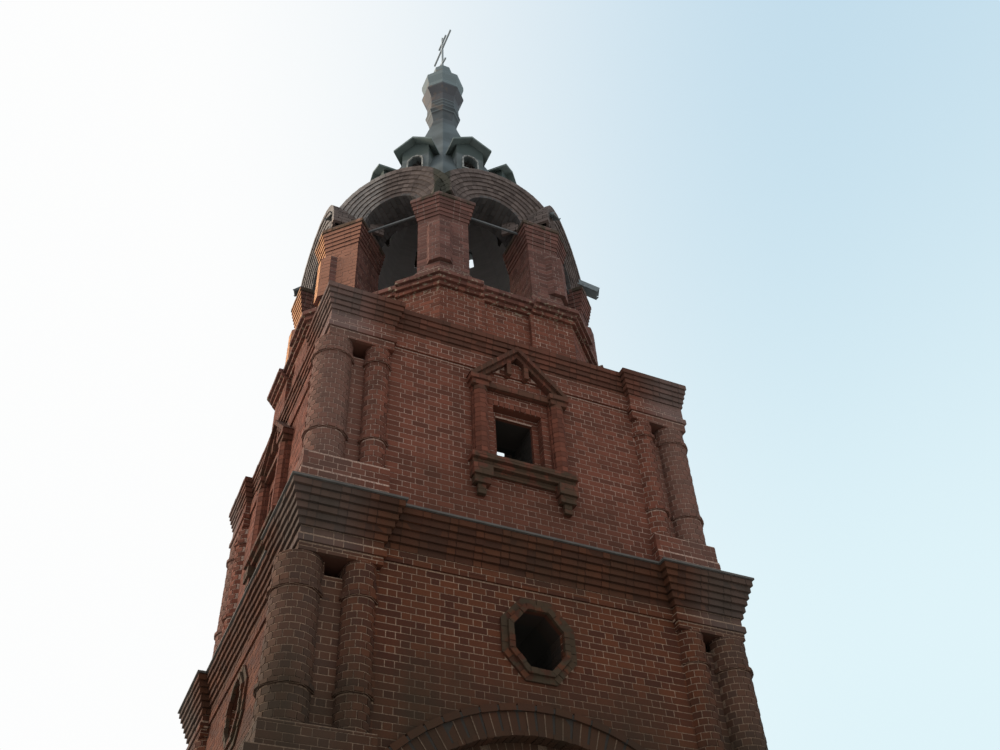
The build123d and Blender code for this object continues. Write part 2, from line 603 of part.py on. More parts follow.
def make_dormer(tent):
    """Box of a dormer with its arched opening, closed against the tent."""
    eaves = DORMER_FOOT + DORMER_HEIGHT
    rise = DORMER_RISE * (DORMER_HALF - DORMER_WALL_HALF) / DORMER_HALF
    body = wall_prism([(DORMER_WALL_HALF, DORMER_FOOT), (DORMER_WALL_HALF, eaves + rise), (0, eaves + DORMER_RISE),
                       (-DORMER_WALL_HALF, eaves + rise), (-DORMER_WALL_HALF, DORMER_FOOT)], DORMER_WALL, 0)
    sill = DORMER_FOOT + DORMER_SILL
    spring = DORMER_FOOT + DORMER_HEAD - DORMER_OPENING
    arch = [(DORMER_OPENING, sill)] + arc(DORMER_OPENING, spring, DORMER_ARC_PARTS) + [(-DORMER_OPENING, sill)]
    return body - wall_prism(arch, 2 * DORMER_WALL, 0) - tent


def make_dormer_roof(tent):
    """Gabled sheet-metal roof of a dormer, overhanging its front wall."""
    eaves = DORMER_FOOT + DORMER_HEIGHT
    roof = wall_prism([(DORMER_HALF, eaves), (DORMER_HALF, eaves + SHEET), (0, eaves + DORMER_RISE + SHEET),
                       (-DORMER_HALF, eaves + SHEET), (-DORMER_HALF, eaves), (0, eaves + DORMER_RISE)],
                      DORMER_FRONT, 0)
    return roof - tent


def turned_profile(points):
    """Solid of stacked eight-sided frustums through the given heights and flats."""
    shape = None
    for (z0, flat0), (z1, flat1) in zip(points, points[1:]):
        part = frustum(z0, flat0, z1, flat1)
        shape = part if shape is None else shape + part
    return shape


def make_cross():
    """Upright with two level bars and a slanting foot bar, all along y."""
    foot, half = CUPOLA_CAP[-1][0], CROSS_BAR / 2
    cross = block(-half, half, -half, half, foot, foot + CROSS_HEIGHT)
    for share, reach in CROSS_ARMS:
        z = foot + share * CROSS_HEIGHT
        cross += block(-half, half, -reach, reach, z - half, z + half)
    share, reach, slope = CROSS_FOOT
    return cross + Pos(0, 0, foot + share * CROSS_HEIGHT) * Rot(slope, 0, 0) * Box(CROSS_BAR, 2 * reach, CROSS_BAR)


for i, name in enumerate(CORNERS):
    size = (LOW_THICK_COLUMN, LOW_SPREAD) if name == "sw" else (LOW_CORNER_COLUMN, 0)
    save(turned(make_lower_pier(*size), 90 * i), f"lower_pier_{name}")
lower_wall = make_lower_wall()
for i, name in enumerate(SIDES):
    save(turned(lower_wall, 90 * i), f"lower_wall_{name}")
portal = make_portal_arch()
save([turned(portal, 90 * i) for i in range(4)], "portal_arches")
frame = make_oculus_frame()
save([turned(frame, 90 * i) for i in range(4)], "oculus_frames")
lower_room = block(-LOW_INNER, LOW_INNER, -LOW_INNER, LOW_INNER, 0, 2 * LOW_TOP)
save(cornice(LOW_FRIEZE, LOW_CORBEL_STEP, LOW_CORBELS, LOW_TOP, LOW_BREAK, lower_room), "lower_cornice")
save(make_capping(), "cornice_capping")

for i, name in enumerate(CORNERS):
    size = (UP_THICK_COLUMN, UP_SPREAD) if name == "sw" else (UP_CORNER_COLUMN, 0)
    save(turned(make_upper_pier(*size), 90 * i), f"upper_pier_{name}")
upper_wall = make_upper_wall()
for i, name in enumerate(SIDES):
    save(turned(upper_wall, 90 * i), f"upper_wall_{name}")
surround = make_window_surround()
save([turned(surround, 90 * i) for i in range(4)], "window_surrounds")
save(make_inner_corbels(), "inner_corbels")
upper_room = block(-UP_INNER, UP_INNER, -UP_INNER, UP_INNER, 0, 2 * UP_TOP)
upper_band = cornice(UP_FRIEZE, UP_CORBEL_STEP, UP_CORBELS, UP_TOP, UP_BREAK, upper_room)
for i in range(4):
    upper_band -= turned(surround, 90 * i)
save(upper_band, "upper_cornice")

save(pedestal_ring(PARAPET_PROUD, UP_TOP, PARAPET_TOP), "belfry_parapet")
sill = None
for i, reach in enumerate(SILL_COURSES):
    course = (SILL_TOP - PARAPET_TOP) / len(SILL_COURSES)
    layer = pedestal_ring(reach, PARAPET_TOP + i * course, PARAPET_TOP + (i + 1) * course)
    sill = layer if sill is None else sill + layer
save(sill, "belfry_sill")
tent = tent_solid()
arches = [make_belfry_arch(i, tent) for i in range(8)]
for i in range(8):
    save(arches[i], f"belfry_arch_{i + 1}")
piers = [make_belfry_pier(i) for i in range(8)]
save([piers[i] + make_valley(i, arches) for i in range(8)], "belfry_piers")
save([make_tie(i, piers) for i in range(8)], "tie_rods")
# slivers of sheet cut off behind a gable are dropped
save([max((make_spout(i, arches) - tent).solids(), key=lambda s: s.volume) for i in range(8)], "gutter_spouts")

save(make_tent(tent), "tent_roof")
save(face_frame(make_dormer(tent)), "dormer_walls")
save(face_frame(make_dormer_roof(tent)), "dormer_roofs")
save(turned_profile(NECK), "lower_neck")
save(turned_profile(SKIRT), "cupola_skirt")
save(turned_profile(CUPOLA), "cupola")
save(turned_profile(CUPOLA_CAP), "cupola_cap")
save(make_cross(), "cross")
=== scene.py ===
import math
import random

import bmesh
import bpy
from mathutils import Matrix, Vector
from mathutils.bvhtree import BVHTree


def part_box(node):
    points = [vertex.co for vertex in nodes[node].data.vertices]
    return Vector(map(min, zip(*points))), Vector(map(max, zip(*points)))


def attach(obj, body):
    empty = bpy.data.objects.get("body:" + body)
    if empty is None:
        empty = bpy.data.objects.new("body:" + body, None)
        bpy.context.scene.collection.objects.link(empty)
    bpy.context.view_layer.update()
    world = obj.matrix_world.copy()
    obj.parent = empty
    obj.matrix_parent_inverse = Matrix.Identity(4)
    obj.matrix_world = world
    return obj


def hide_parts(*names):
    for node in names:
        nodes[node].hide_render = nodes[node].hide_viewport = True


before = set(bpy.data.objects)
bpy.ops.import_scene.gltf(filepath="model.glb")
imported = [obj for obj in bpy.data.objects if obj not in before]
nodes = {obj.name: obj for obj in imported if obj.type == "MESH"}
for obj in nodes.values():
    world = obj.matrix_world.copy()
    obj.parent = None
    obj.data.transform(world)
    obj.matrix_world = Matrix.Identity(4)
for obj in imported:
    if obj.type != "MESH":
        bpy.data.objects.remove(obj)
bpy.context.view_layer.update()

UP = Vector((0, 0, 1))
FRONT = Vector((0, -1, 0))


# Shader maths. A wrapped socket takes part in Python expressions, so that each material reads as its
# formula. Lengths in the formulas are metres in the tower's own frame.
class Value:
    """A node socket that the usual operators combine inside one node tree."""

    def __init__(self, tree, socket):
        self.tree = tree
        self.socket = socket

    def math(self, operation, *others):
        return calculate(self.tree, operation, self, *others)

    def __add__(self, other):
        return self.math("ADD", other)

    def __sub__(self, other):
        return self.math("SUBTRACT", other)

    def __mul__(self, other):
        return self.math("MULTIPLY", other)

    def __rsub__(self, other):
        return calculate(self.tree, "SUBTRACT", other, self)

    def above(self, edge, width):
        """0 below the edge, 1 above it, with a soft step of the given width."""
        sockets = {"Value": self, "From Min": edge - width / 2, "From Max": edge + width / 2}
        return Shader(self.tree).node("ShaderNodeMapRange", {"interpolation_type": "SMOOTHSTEP"}, sockets)

    def below(self, edge, width):
        return 1 - self.above(edge, width)

    def between(self, low, low_width, high, high_width):
        return self.above(low, low_width) * self.below(high, high_width)

    def abs(self):
        return self.math("ABSOLUTE")


def plug(tree, slot, item):
    """Link a socket, or set a plain value."""
    if isinstance(item, Value):
        tree.links.new(item.socket, slot)
    else:
        slot.default_value = item


def calculate(tree, operation, *items):
    """A maths node on sockets or plain numbers."""
    node = tree.nodes.new("ShaderNodeMath")
    node.operation = operation
    for slot, item in zip(node.inputs, items):
        plug(tree, slot, item)
    return Value(tree, node.outputs[0])


class Shader:
    """Builds nodes in one tree, of a look or of Geometry Nodes."""

    def __init__(self, tree):
        self.tree = tree

    def node(self, kind, settings=None, sockets=None, output=0):
        made = self.tree.nodes.new(kind)
        for name, value in (settings or {}).items():
            setattr(made, name, value)
        for name, value in (sockets or {}).items():
            plug(self.tree, made.inputs[name], value)
        return Value(self.tree, made.outputs[output])

    def colour(self, factor, first, second):
        """Colour between two colours (red, green, blue) or sockets."""
        made = self.tree.nodes.new("ShaderNodeMix")
        made.data_type = "RGBA"
        plug(self.tree, made.inputs[0], factor)
        for slot, item in ((made.inputs[6], first), (made.inputs[7], second)):
            plug(self.tree, slot, item if isinstance(item, Value) else tuple(item) + (1.0,))
        return Value(self.tree, made.outputs[2])

    def over(self, base, *layers):
        """A base colour with others laid over it, each as far as its mask goes."""
        for mask, colour in layers:
            base = self.colour(mask, base, colour)
        return base

    def parts(self, vector):
        split = self.tree.nodes.new("ShaderNodeSeparateXYZ")
        self.tree.links.new(vector.socket, split.inputs[0])
        return [Value(self.tree, s) for s in split.outputs]

    def place(self):
        """The object's own coordinates."""
        return self.node("ShaderNodeTexCoord", output="Object")

    def position(self):
        """The object's own coordinates and their three parts."""
        place = self.place()
        return [place] + self.parts(place)

    def normal(self):
        """Parts of the face's normal."""
        return self.parts(self.node("ShaderNodeNewGeometry", output="True Normal"))

    def tone(self):
        """The number from 0 to 1 that each brick draws."""
        return self.node("ShaderNodeAttribute", {"attribute_name": "tone"}, None, "Fac")

    def noise(self, place, scale, detail=3.0, stretch=(1, 1, 1)):
        """Noise from 0 to 1 at a scale in cycles per metre."""
        if stretch != (1, 1, 1):
            place = self.node("ShaderNodeVectorMath", {"operation": "MULTIPLY"}, {0: place, 1: stretch})
        return self.node("ShaderNodeTexNoise", None, {"Vector": place, "Scale": scale, "Detail": detail})


def mottled(first, second, scale, detail=3.0, stretch=(1, 1, 1), step=None):
    """A colouring between two colours by one noise, made into patches by a step (edge and width)."""
    def colouring(shader):
        cloud = shader.noise(shader.place(), scale, detail, stretch)
        return shader.colour(cloud.above(*step) if step else cloud, first, second)
    return colouring


def new_material(name, colouring, roughness, specular=0.5, relief=None):
    """A material: the function that gives its colour, how rough and shiny it is, and a relief's noise."""
    material = bpy.data.materials.new(name)
    material.use_nodes = True
    tree = material.node_tree
    tree.nodes.clear()
    out = tree.nodes.new("ShaderNodeOutputMaterial")
    body = tree.nodes.new("ShaderNodeBsdfPrincipled")
    tree.links.new(body.outputs[0], out.inputs[0])
    shader = Shader(tree)
    plug(tree, body.inputs["Base Color"], colouring(shader))
    body.inputs["Roughness"].default_value = roughness
    body.inputs["Specular IOR Level"].default_value = specular
    if relief:
        scale, detail, strength, depth = relief
        height = shader.noise(shader.place(), scale, detail)
        sockets = {"Strength": strength, "Distance": depth, "Height": height}
        plug(tree, body.inputs["Normal"], shader.node("ShaderNodeBump", None, sockets, "Normal"))
    return material


# Brickwork. The CAD masonry stays in view as the mortar, and on mouldings as brick. Each brick is a box laid
# on an upright face in Flemish bond, a few millimetres proud, by one Geometry Nodes tree for the whole tower.
COURSE = 0.098
BED_JOINT = 0.014
CROSS_JOINT = 0.012
STRETCHER = 0.252
HEADER = 0.115
BRICK_DEPTH = 0.062
BRICK_PROUD = 0.004
BRICK_SEED = 7
UNEVENNESS = 0.002  # how far bricks stand in or out at random
TILT = 0.006  # how far they turn at random, in radians
LAP = 0.002  # how much of a bed joint the bricks take up
MOULDING = 0.30  # faces lower than this are divided into equal courses
UPRIGHT = 0.02  # greatest slope of a face that gets bricks
WALL_LEAD = 0.015  # how far in front of a face it is tested for being in the open
LEAST_STRETCH = 0.02  # narrowest face, or part of one, that gets bricks
LEAST_HEIGHT = 0.022  # lowest course
LEAST_BRICK = 0.05  # shorter ones at a course's ends join their neighbours
LEAST_PIECE = 0.012  # shorter bits are left out
LEAST_HALF = 0.06  # lowest course that a ledge can cover half of
STAGES = ((9.95, 0.1), (15.4, 0.5), (18.1, 0.3))  # top of each storey and the belfry, and how soft


def soot_and_dark_cornices(shader):
    """How black the brick is: soot on the lower storey up to its windows and in streaks, and the cornices'
    undersides darker.
    """
    place, *_, z = shader.position()
    patches = shader.noise(place, 0.9, 4.0)
    streaks = shader.noise(place, 1.0, 4.0, (3.0, 3.0, 0.35))
    low = (z + (patches - 0.5) * 1.6).below(7.7, 1.3) * (z.above(5.2, 1.0) * 0.45 + 0.55)
    # the cornices' undersides are made darker
    cornices = z.between(9.3, 0.3, 10.0, 0.05) + z.between(13.55, 0.3, 14.1, 0.05)
    return (low * 0.7 + cornices * 0.45 + (streaks - 0.55) * 0.9).math("MAXIMUM", 0.0).math("MINIMUM", 1.0)


def by_height(shader, z, first, *others):
    """A colour for each of the tower's stages, from the ground up."""
    return shader.over(first, *((z.above(*stage), colour) for stage, colour in zip(STAGES, others)))


def weathering_and_painted_light(shader, base, greyness):
    """What lies over a brick or mortar colour, layer by layer: weathering, painted light on the west faces
    and painted shade in the openings, the shaft and the rooms; each mask is named for what it marks.
    """
    place, x, y, z = shader.position()
    west = 0 - shader.normal()[0]
    across, reach = x.abs().math("MINIMUM", y.abs()), x.abs().math("MAXIMUM", y.abs())
    growth = shader.noise(place, 5.0, 4.0).above(0.46, 0.12)
    flecks = shader.noise(place, 16.0, 5.0).above(0.60, 0.08)

    upper = z.above(*STAGES[0])
    grey = shader.over((0.060, 0.048, 0.036), (upper, (0.126, 0.088, 0.070)),
                       (upper * z.below(10.7, 0.05), (0.085, 0.062, 0.050)),
                       (z.above(13.2, 0.1), (0.150, 0.135, 0.125)),
                       (z.between(9.1, 0.05, 9.97, 0.02), (0.090, 0.085, 0.075)))
    corners = across.above(2.55, 0.75) * z.below(14.2, 0.2)
    # the walls' middles between the piers are made darker, from the lower cornice up to 11.1 m and below 8 m
    darker_middles = across.below(1.7, 0.8) * (z.between(10.0, 0.1, 11.1, 0.5) + z.below(8.0, 0.5))
    # painted sunlight: orange on the belfry's west-facing faces between 15.9 m and 18.2 m, deeper where they
    # face due west
    painted_low_sun = x.below(-1.95, 0.15) * west.above(0.6, 0.2) * z.between(15.9, 0.1, 18.2, 0.2)
    # painted light: a pale grey on the gables' west faces above 18.1 m
    painted_west_light = x.below(-2.05, 0.25) * west.above(0.5, 0.2) * z.above(18.1, 0.1)
    stub = ((x + 1.14) * (x + 1.14) + (y + 2.74) * (y + 2.74)).below(0.035, 0.025) * z.above(18.15, 0.05)
    oculus = across.below(0.75, 0.05) * reach.above(3.19, 0.01) * z.between(7.8, 0.02, 9.05, 0.02)
    ledges = across.below(0.85, 0.05) * reach.above(3.085, 0.01) * z.between(10.4, 0.2, 11.42, 0.02)
    rakes = across.below(0.85, 0.05) * reach.above(3.12, 0.01) * z.between(12.7, 0.05, 13.5, 0.05) * 0.6
    sills = z.between(15.1, 0.2, 16.0, 0.5)
    # painted shade: the reveals of the oculi and the upper windows are nearly black
    openings = across.below(0.46, 0.01) * reach.below(2.84, 0.05) * z.between(7.8, 0.05, 13.0, 0.05)
    oculus_sides = across.below(0.44, 0.01) * reach.below(3.12, 0.03) * z.between(7.8, 0.05, 9.05, 0.05)
    cap_tops = z.between(17.99, 0.04, 18.13, 0.02) * growth
    # painted shade: inside the shaft and both rooms the walls are nearly black
    shaft = (x * x + y * y).below(4.3, 0.2) * z.between(13.8, 0.1, 15.3, 0.1)
    rooms = (reach.below(2.24, 0.05) * z.below(13.8, 0.1)).math("MAXIMUM", shaft)

    # among the layers: painted sunlight and painted light on the west faces, and painted shade in the
    # openings, the oculi, the shaft and the rooms
    return shader.over(base, (corners * greyness, grey), (darker_middles * 0.35, (0.045, 0.020, 0.011)),
                       (painted_low_sun * 0.6, (0.330, 0.150, 0.090)),
                       (painted_low_sun * west.above(0.92, 0.05) * 0.6, (0.620, 0.310, 0.140)),
                       (painted_west_light * 0.55, (0.260, 0.240, 0.215)), (stub * 0.85, (0.030, 0.032, 0.022)),
                       (soot_and_dark_cornices(shader) * 0.8, (0.022, 0.019, 0.011)),
                       ((oculus + ledges + rakes) * (growth * 0.6 + 0.12), (0.038, 0.031, 0.018)),
                       (sills * flecks * 0.6, (0.26, 0.22, 0.15)), (openings * 0.9, (0.022, 0.024, 0.021)),
                       (oculus_sides * 0.85, (0.020, 0.018, 0.014)), (cap_tops * 0.7, (0.036, 0.034, 0.020)),
                       (rooms * 0.9, (0.013, 0.014, 0.012)))


def brick_look(shader):
    place, *_, z = shader.position()
    dark = by_height(shader, z, (0.046, 0.015, 0.008), (0.080, 0.028, 0.017), (0.076, 0.036, 0.028),
                     (0.066, 0.050, 0.043))
    light = by_height(shader, z, (0.088, 0.027, 0.011), (0.142, 0.046, 0.027), (0.136, 0.061, 0.047),
                      (0.125, 0.096, 0.083))
    tone = shader.tone() + (shader.noise(place, 55.0, 4.0) - 0.5) * 0.9
    return weathering_and_painted_light(shader, shader.colour(tone, dark, light), 0.42)


def mortar_look(shader):
    """Mortar on upright faces, brick on level ones."""
    place, *_, z = shader.position()
    lime = by_height(shader, z, (0.29, 0.19, 0.125), (0.40, 0.27, 0.205), (0.26, 0.19, 0.16),
                     (0.12, 0.10, 0.088))
    lime = shader.colour(shader.noise(place, 40.0).above(0.5, 0.3) * 0.7, lime, (0.12, 0.075, 0.058))
    level = by_height(shader, z, (0.060, 0.019, 0.010), (0.10, 0.034, 0.020), (0.10, 0.05, 0.038),
                      (0.08, 0.06, 0.052))
    flat = shader.normal()[2].abs().above(0.4, 0.1)
    return weathering_and_painted_light(shader, shader.colour(flat, lime, level), 0.2)


brick = new_material("brick", brick_look, 0.9, 0.15, relief=(55.0, 4.0, 0.35, 0.004))
mortar = new_material("mortar", mortar_look, 0.95, 0.15)

LOWER = [n for n in nodes if n.startswith("lower_") and n != "lower_neck"]
UPPER = [n for n in nodes if n.startswith("upper_") or n in ("window_surrounds", "inner_corbels")]
BELFRY = ["belfry_parapet", "belfry_sill", "belfry_piers"]
ARCHES = sorted(n for n in nodes if n.startswith("belfry_arch_"))
MASONRY = LOWER + UPPER + BELFRY + ARCHES + ["portal_arches", "oculus_frames"]
MOULDED = ["window_surrounds", "lower_cornice", "upper_cornice", "belfry_sill", "oculus_frames"]


def mesh_planes(name):
    """Upright planes of a CAD node: the normal and the triangles of each."""
    planes = {}
    mesh = nodes[name].data
    for tri in mesh.loop_triangles:
        corners = [mesh.vertices[i].co for i in tri.vertices]
        normal = (corners[1] - corners[0]).cross(corners[2] - corners[0])
        if normal.length < 1e-9:
            continue
        normal.normalize()
        if abs(normal.z) > UPRIGHT:
            continue
        key = (round(normal.x, 2), round(normal.y, 2), round(normal.dot(corners[0]), 3))
        planes.setdefault(key, (normal, []))[1].append(corners)
    return planes.values()


# the masonry as one body that rays can be shot at
points, faces = [], []
for name in MASONRY:
    mesh = nodes[name].data
    mesh.calc_loop_triangles()
    first = len(points)
    points += [v.co.copy() for v in mesh.vertices]
    faces += [[first + i for i in tri.vertices] for tri in mesh.loop_triangles]
solids = BVHTree.FromPolygons(points, faces, all_triangles=True)
ROOMS = ((0.0, 10.0, 2.205), (10.0, 14.0, 2.135))  # foot, head and half width of the closed rooms
SHAFT = (14.0, 15.4, 1.9)  # foot, head and radius of the shaft over them
RISES = (0.0, 0.35, -0.3)  # of the rays that look for a way out
ASIDE = (0.013, 0.007)  # how far the rays turn, so as to miss the edges
SIGHT = 9.0


def in_the_open(point, normal):
    """Whether a point just in front of a face is outside the masonry and the closed rooms."""
    for low, high, half in ROOMS:
        if low <= point.z < high and max(abs(point.x), abs(point.y)) < half:
            return False
    low, high, radius = SHAFT
    if low < point.z < high and point.xy.length < radius:
        return False
    for rise in RISES:
        ray = (normal + Vector((*ASIDE, rise))).normalized()
        place, face, *_ = solids.ray_cast(point, ray, SIGHT)
        if place is not None and face.dot(ray) > 0:
            return False
    return True


def cut_spans(triangles, tangent, z):
    """Spans along the tangent where a level line at height z crosses the triangles."""
    touching = 0.002
    spans = []
    for corners in triangles:
        cuts = []
        for a, b in ((0, 1), (1, 2), (2, 0)):
            za, zb = corners[a].z - z, corners[b].z - z
            if za * zb < 0:
                cuts.append(corners[a].lerp(corners[b], za / (za - zb)).dot(tangent))
        if len(cuts) == 2:
            spans.append(sorted(cuts))
    merged = []
    for a, b in sorted(spans):
        if merged and a < merged[-1][1] + touching:
            merged[-1][1] = max(b, merged[-1][1])
        else:
            merged.append([a, b])
    return merged


def shared(first, second):
    """Parts that lie in spans of both lists."""
    least = 0.01
    parts = [(max(a, c), min(b, d)) for a, b in first for c, d in second]
    return [(a, b) for a, b in parts if b - a > least]


def open_spans(span, base, tangent, normal, z):
    """The parts of a span that can be seen from outside, found in steps and then by halving."""
    a, b = span
    step, inset, halvings = 0.06, 0.004, 4

    def seen(u):
        point = base + tangent * u + normal * WALL_LEAD
        point.z = z
        return in_the_open(point, normal)

    count = max(2, math.ceil((b - a) / step))
    marks = [a + inset + (b - a - 2 * inset) * i / count for i in range(count + 1)]
    states = [seen(u) for u in marks]
    spans = []
    start = a if states[0] else None
    for i in range(count):
        if states[i] == states[i + 1]:
            continue
        low, high = marks[i], marks[i + 1]
        for _ in range(halvings):
            middle = (low + high) / 2
            if seen(middle) == states[i]:
                low = middle
            else:
                high = middle
        if states[i]:
            spans.append((start, low))
            start = None
        else:
            start = high
    if start is not None:
        spans.append((start, b))
    return spans


def row_parts(triangles, base, tangent, normal, z0, z1):
    """Where a course lies on a face: at its full height, or at half where a ledge covers the other half."""
    foot, head, least = 0.008, 0.010, 0.08

    def spans_between(low, high):
        cuts = [cut_spans(triangles, tangent, z) for z in (low + foot, high - head)]
        return [part for span in shared(*cuts)
                for part in open_spans(span, base, tangent, normal, (low + high) / 2)
                if part[1] - part[0] > LEAST_STRETCH]

    full = spans_between(z0, z1)
    parts = [(a, b, z0, z1) for a, b in full]
    if z1 - z0 > LEAST_HALF:
        middle = (z0 + z1) / 2
        for low, high in ((z0, middle), (middle, z1)):
            for a, b in spans_between(low, high):
                for c, d in full:
                    if c <= a < d:
                        a = d
                    if c < b <= d:
                        b = c
                if b - a > least:
                    parts.append((a, b, low, high))
    return parts


def flemish(span, row):
    """Bricks of one course between two ends: stretcher and header by turns, every other course shifted."""
    pair = STRETCHER + HEADER + 2 * CROSS_JOINT
    a, b = span
    start = pair / 2 * (row % 2)
    bricks = []
    for i in range(math.floor((a - start) / pair), math.ceil((b - start) / pair)):
        for offset, length in ((0, STRETCHER), (STRETCHER + CROSS_JOINT, HEADER)):
            low = max(a, start + i * pair + offset)
            high = min(b, start + i * pair + offset + length)
            if high - low > LEAST_PIECE:
                bricks.append([low, high])
    for end in (0, -1):
        if len(bricks) > 1 and bricks[end][1] - bricks[end][0] < LEAST_BRICK:
            bricks.pop(end)
    if bricks:
        bricks[0][0] = a - BRICK_PROUD
        bricks[-1][1] = b + BRICK_PROUD
    return bricks


def lay(place, out, up, length, height):
    """One brick: the middle of its face, where the face looks, which way its height runs, and its size."""
    turn = Matrix((out.cross(up), out, up)).transposed().to_euler()
    return place, tuple(out), tuple(turn), (length, 1.0, height)


def courses(low, high, top):
    """Foot, head and number of a face's courses, level with the top; a moulding has equal ones of its own."""
    if high - low < MOULDING:
        count = max(1, round((high - low) / COURSE))
        return [(high - (high - low) * (row + 1) / count, high - (high - low) * row / count, row)
                for row in range(count)]
    rows = range(math.floor((top - high) / COURSE + 0.001), math.ceil((top - low) / COURSE - 0.001))
    return [(max(low, top - (row + 1) * COURSE), min(high, top - row * COURSE), row) for row in rows]


def wall_bricks(names, top, skip=None):
    """All bricks on the upright faces of some nodes, in level courses counted down from the top."""
    laid = []
    for name in names:
        for normal, triangles in mesh_planes(name):
            tangent = Vector((-normal.y, normal.x, 0))
            base = normal * triangles[0][0].dot(normal)
            zs = [c.z for t in triangles for c in t]
            marks = [c.dot(tangent) for t in triangles for c in t]
            if max(marks) - min(marks) < LEAST_STRETCH:
                continue
            for z0, z1, row in courses(min(zs), max(zs), top):
                if z1 - z0 < LEAST_HEIGHT:
                    continue
                for start, end, bottom, head in row_parts(triangles, base, tangent, normal, z0, z1):
                    for a, b in flemish((start, end), row):
                        place = base + tangent * ((a + b) / 2)
                        place.z = (bottom + head - BED_JOINT) / 2 - LAP / 2
                        if not (skip and skip(place, normal)):
                            laid.append(lay(place, normal, UP, b - a, head - bottom - BED_JOINT + LAP))
    return laid


def brick_tree():
    """Geometry Nodes: a box on every point, sized and turned by the point's attributes."""
    tree = bpy.data.node_groups.new("lay_bricks", "GeometryNodeTree")
    face = tree.interface
    face.new_socket("Geometry", in_out="OUTPUT", socket_type="NodeSocketGeometry")
    face.new_socket("Geometry", in_out="INPUT", socket_type="NodeSocketGeometry")
    sizes = {"Depth": BRICK_DEPTH, "Proud": BRICK_PROUD, "Unevenness": UNEVENNESS, "Tilt": TILT}
    for name, default in sizes.items():
        socket = face.new_socket(name, in_out="INPUT", socket_type="NodeSocketFloat")
        socket.default_value = default
    face.new_socket("Seed", in_out="INPUT", socket_type="NodeSocketInt")
    face.new_socket("Material", in_out="INPUT", socket_type="NodeSocketMaterial")
    given = {s.name: Value(tree, s) for s in tree.nodes.new("NodeGroupInput").outputs}
    add = Shader(tree).node

    def attribute(name):
        return add("GeometryNodeInputNamedAttribute", {"data_type": "FLOAT_VECTOR"}, {"Name": name},
                   "Attribute")

    def vector(operation, first, second, socket=1):
        return add("ShaderNodeVectorMath", {"operation": operation}, {0: first, socket: second})

    def drawn(kind, low, high, offset):
        made = tree.nodes.new("FunctionNodeRandomValue")
        made.data_type = kind
        for slot, limit in zip([s for s in made.inputs if s.enabled], (low, high)):
            slot.default_value = limit
        plug(tree, made.inputs["Seed"], given["Seed"] + offset)
        return Value(tree, [s for s in made.outputs if s.enabled][0])

    push = calculate(tree, "MULTIPLY_ADD", drawn("FLOAT", -1.0, 1.0, 1), given["Unevenness"], given["Proud"])
    points = add("GeometryNodeSetPosition", None,
                 {"Geometry": given["Geometry"], "Offset": vector("SCALE", attribute("out"), push, "Scale")})
    box = add("GeometryNodeTransform", None,
              {"Geometry": add("GeometryNodeMeshCube", output="Mesh"), "Translation": (0, -0.5, 0)})
    tilt = vector("SCALE", drawn("FLOAT_VECTOR", (-1, -1, -1), (1, 1, 1), 2), given["Tilt"], "Scale")
    turn = add("FunctionNodeEulerToRotation", None, {0: vector("ADD", attribute("turn"), tilt)})
    depth = add("ShaderNodeCombineXYZ", None, {0: 1.0, 1: given["Depth"], 2: 1.0})
    size = vector("MULTIPLY", attribute("size"), depth)
    placed = add("GeometryNodeInstanceOnPoints", None,
                 {"Points": points, "Instance": box, "Rotation": turn, "Scale": size})
    toned = add("GeometryNodeStoreNamedAttribute", {"data_type": "FLOAT", "domain": "INSTANCE"},
                {"Name": "tone", "Geometry": placed, "Value": drawn("FLOAT", 0.0, 1.0, 3)})
    real = add("GeometryNodeRealizeInstances", None, {0: toned})
    finished = add("GeometryNodeSetMaterial", None, {"Geometry": real, "Material": given["Material"]})
    tree.links.new(finished.socket, tree.nodes.new("NodeGroupOutput").inputs[0])
    return tree


lay_bricks = brick_tree()


def add_piece(name, mesh):
    """A finished mesh that rides on the tower."""
    piece = bpy.data.objects.new(name, mesh)
    bpy.context.scene.collection.objects.link(piece)
    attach(piece, "root")


def build_bricks(name, laid, slot, material, **values):
    """Runs the tree over the places and keeps the result as one plain mesh."""
    mesh = bpy.data.meshes.new(name + "_places")
    mesh.from_pydata([place for place, *_ in laid], [], [])
    for i, key in enumerate(("out", "turn", "size"), 1):
        layer = mesh.attributes.new(key, "FLOAT_VECTOR", "POINT")
        layer.data.foreach_set("vector", [v for brick_laid in laid for v in brick_laid[i]])
    points = bpy.data.objects.new(name + "_places", mesh)
    bpy.context.scene.collection.objects.link(points)
    modifier = points.modifiers.new("bricks", "NODES")
    modifier.node_group = lay_bricks
    ids = {s.name: s.identifier for s in lay_bricks.interface.items_tree if s.in_out == "INPUT"}
    for key, value in dict(values, Seed=BRICK_SEED, Material=material).items():
        modifier[ids[key]] = value
    bpy.context.view_layer.update()
    graph = bpy.context.evaluated_depsgraph_get()
    result = bpy.data.meshes.new_from_object(points.evaluated_get(graph), depsgraph=graph)
    bpy.data.objects.remove(points)
    add_piece(name, result)


def use(names, material):
    for name in names:
        mesh = nodes[name].data
        mesh.materials.clear()
        mesh.materials.append(material)


use(MASONRY, mortar)
use(MOULDED, brick)
low_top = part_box("lower_cornice")[1].z
up_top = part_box("upper_cornice")[1].z
belfry_top = 18.11


# Columns. Round shafts of headers laid in a ring, every other course turned by half a brick, with a prouder
# ring near the foot and near the head; mortar cores stand inside them. They stand three-quarters free at the
# piers' corners and half free beside them, round the CAD's eight-sided shafts.
RING_PROUD = 0.032
RING_HEIGHT = 0.066
ROUND_PROUD = 1.072  # brick faces just outside the corners of the CAD column
COLUMN_LEAD = 0.02
LEAST_RING = 0.03  # lowest course of a column
CORE_PROUD = 0.001
CORE_INSET = 0.008
CORE_SIDES = 28
SOUTHWEST = 2  # the turn that brings the north-east pier there
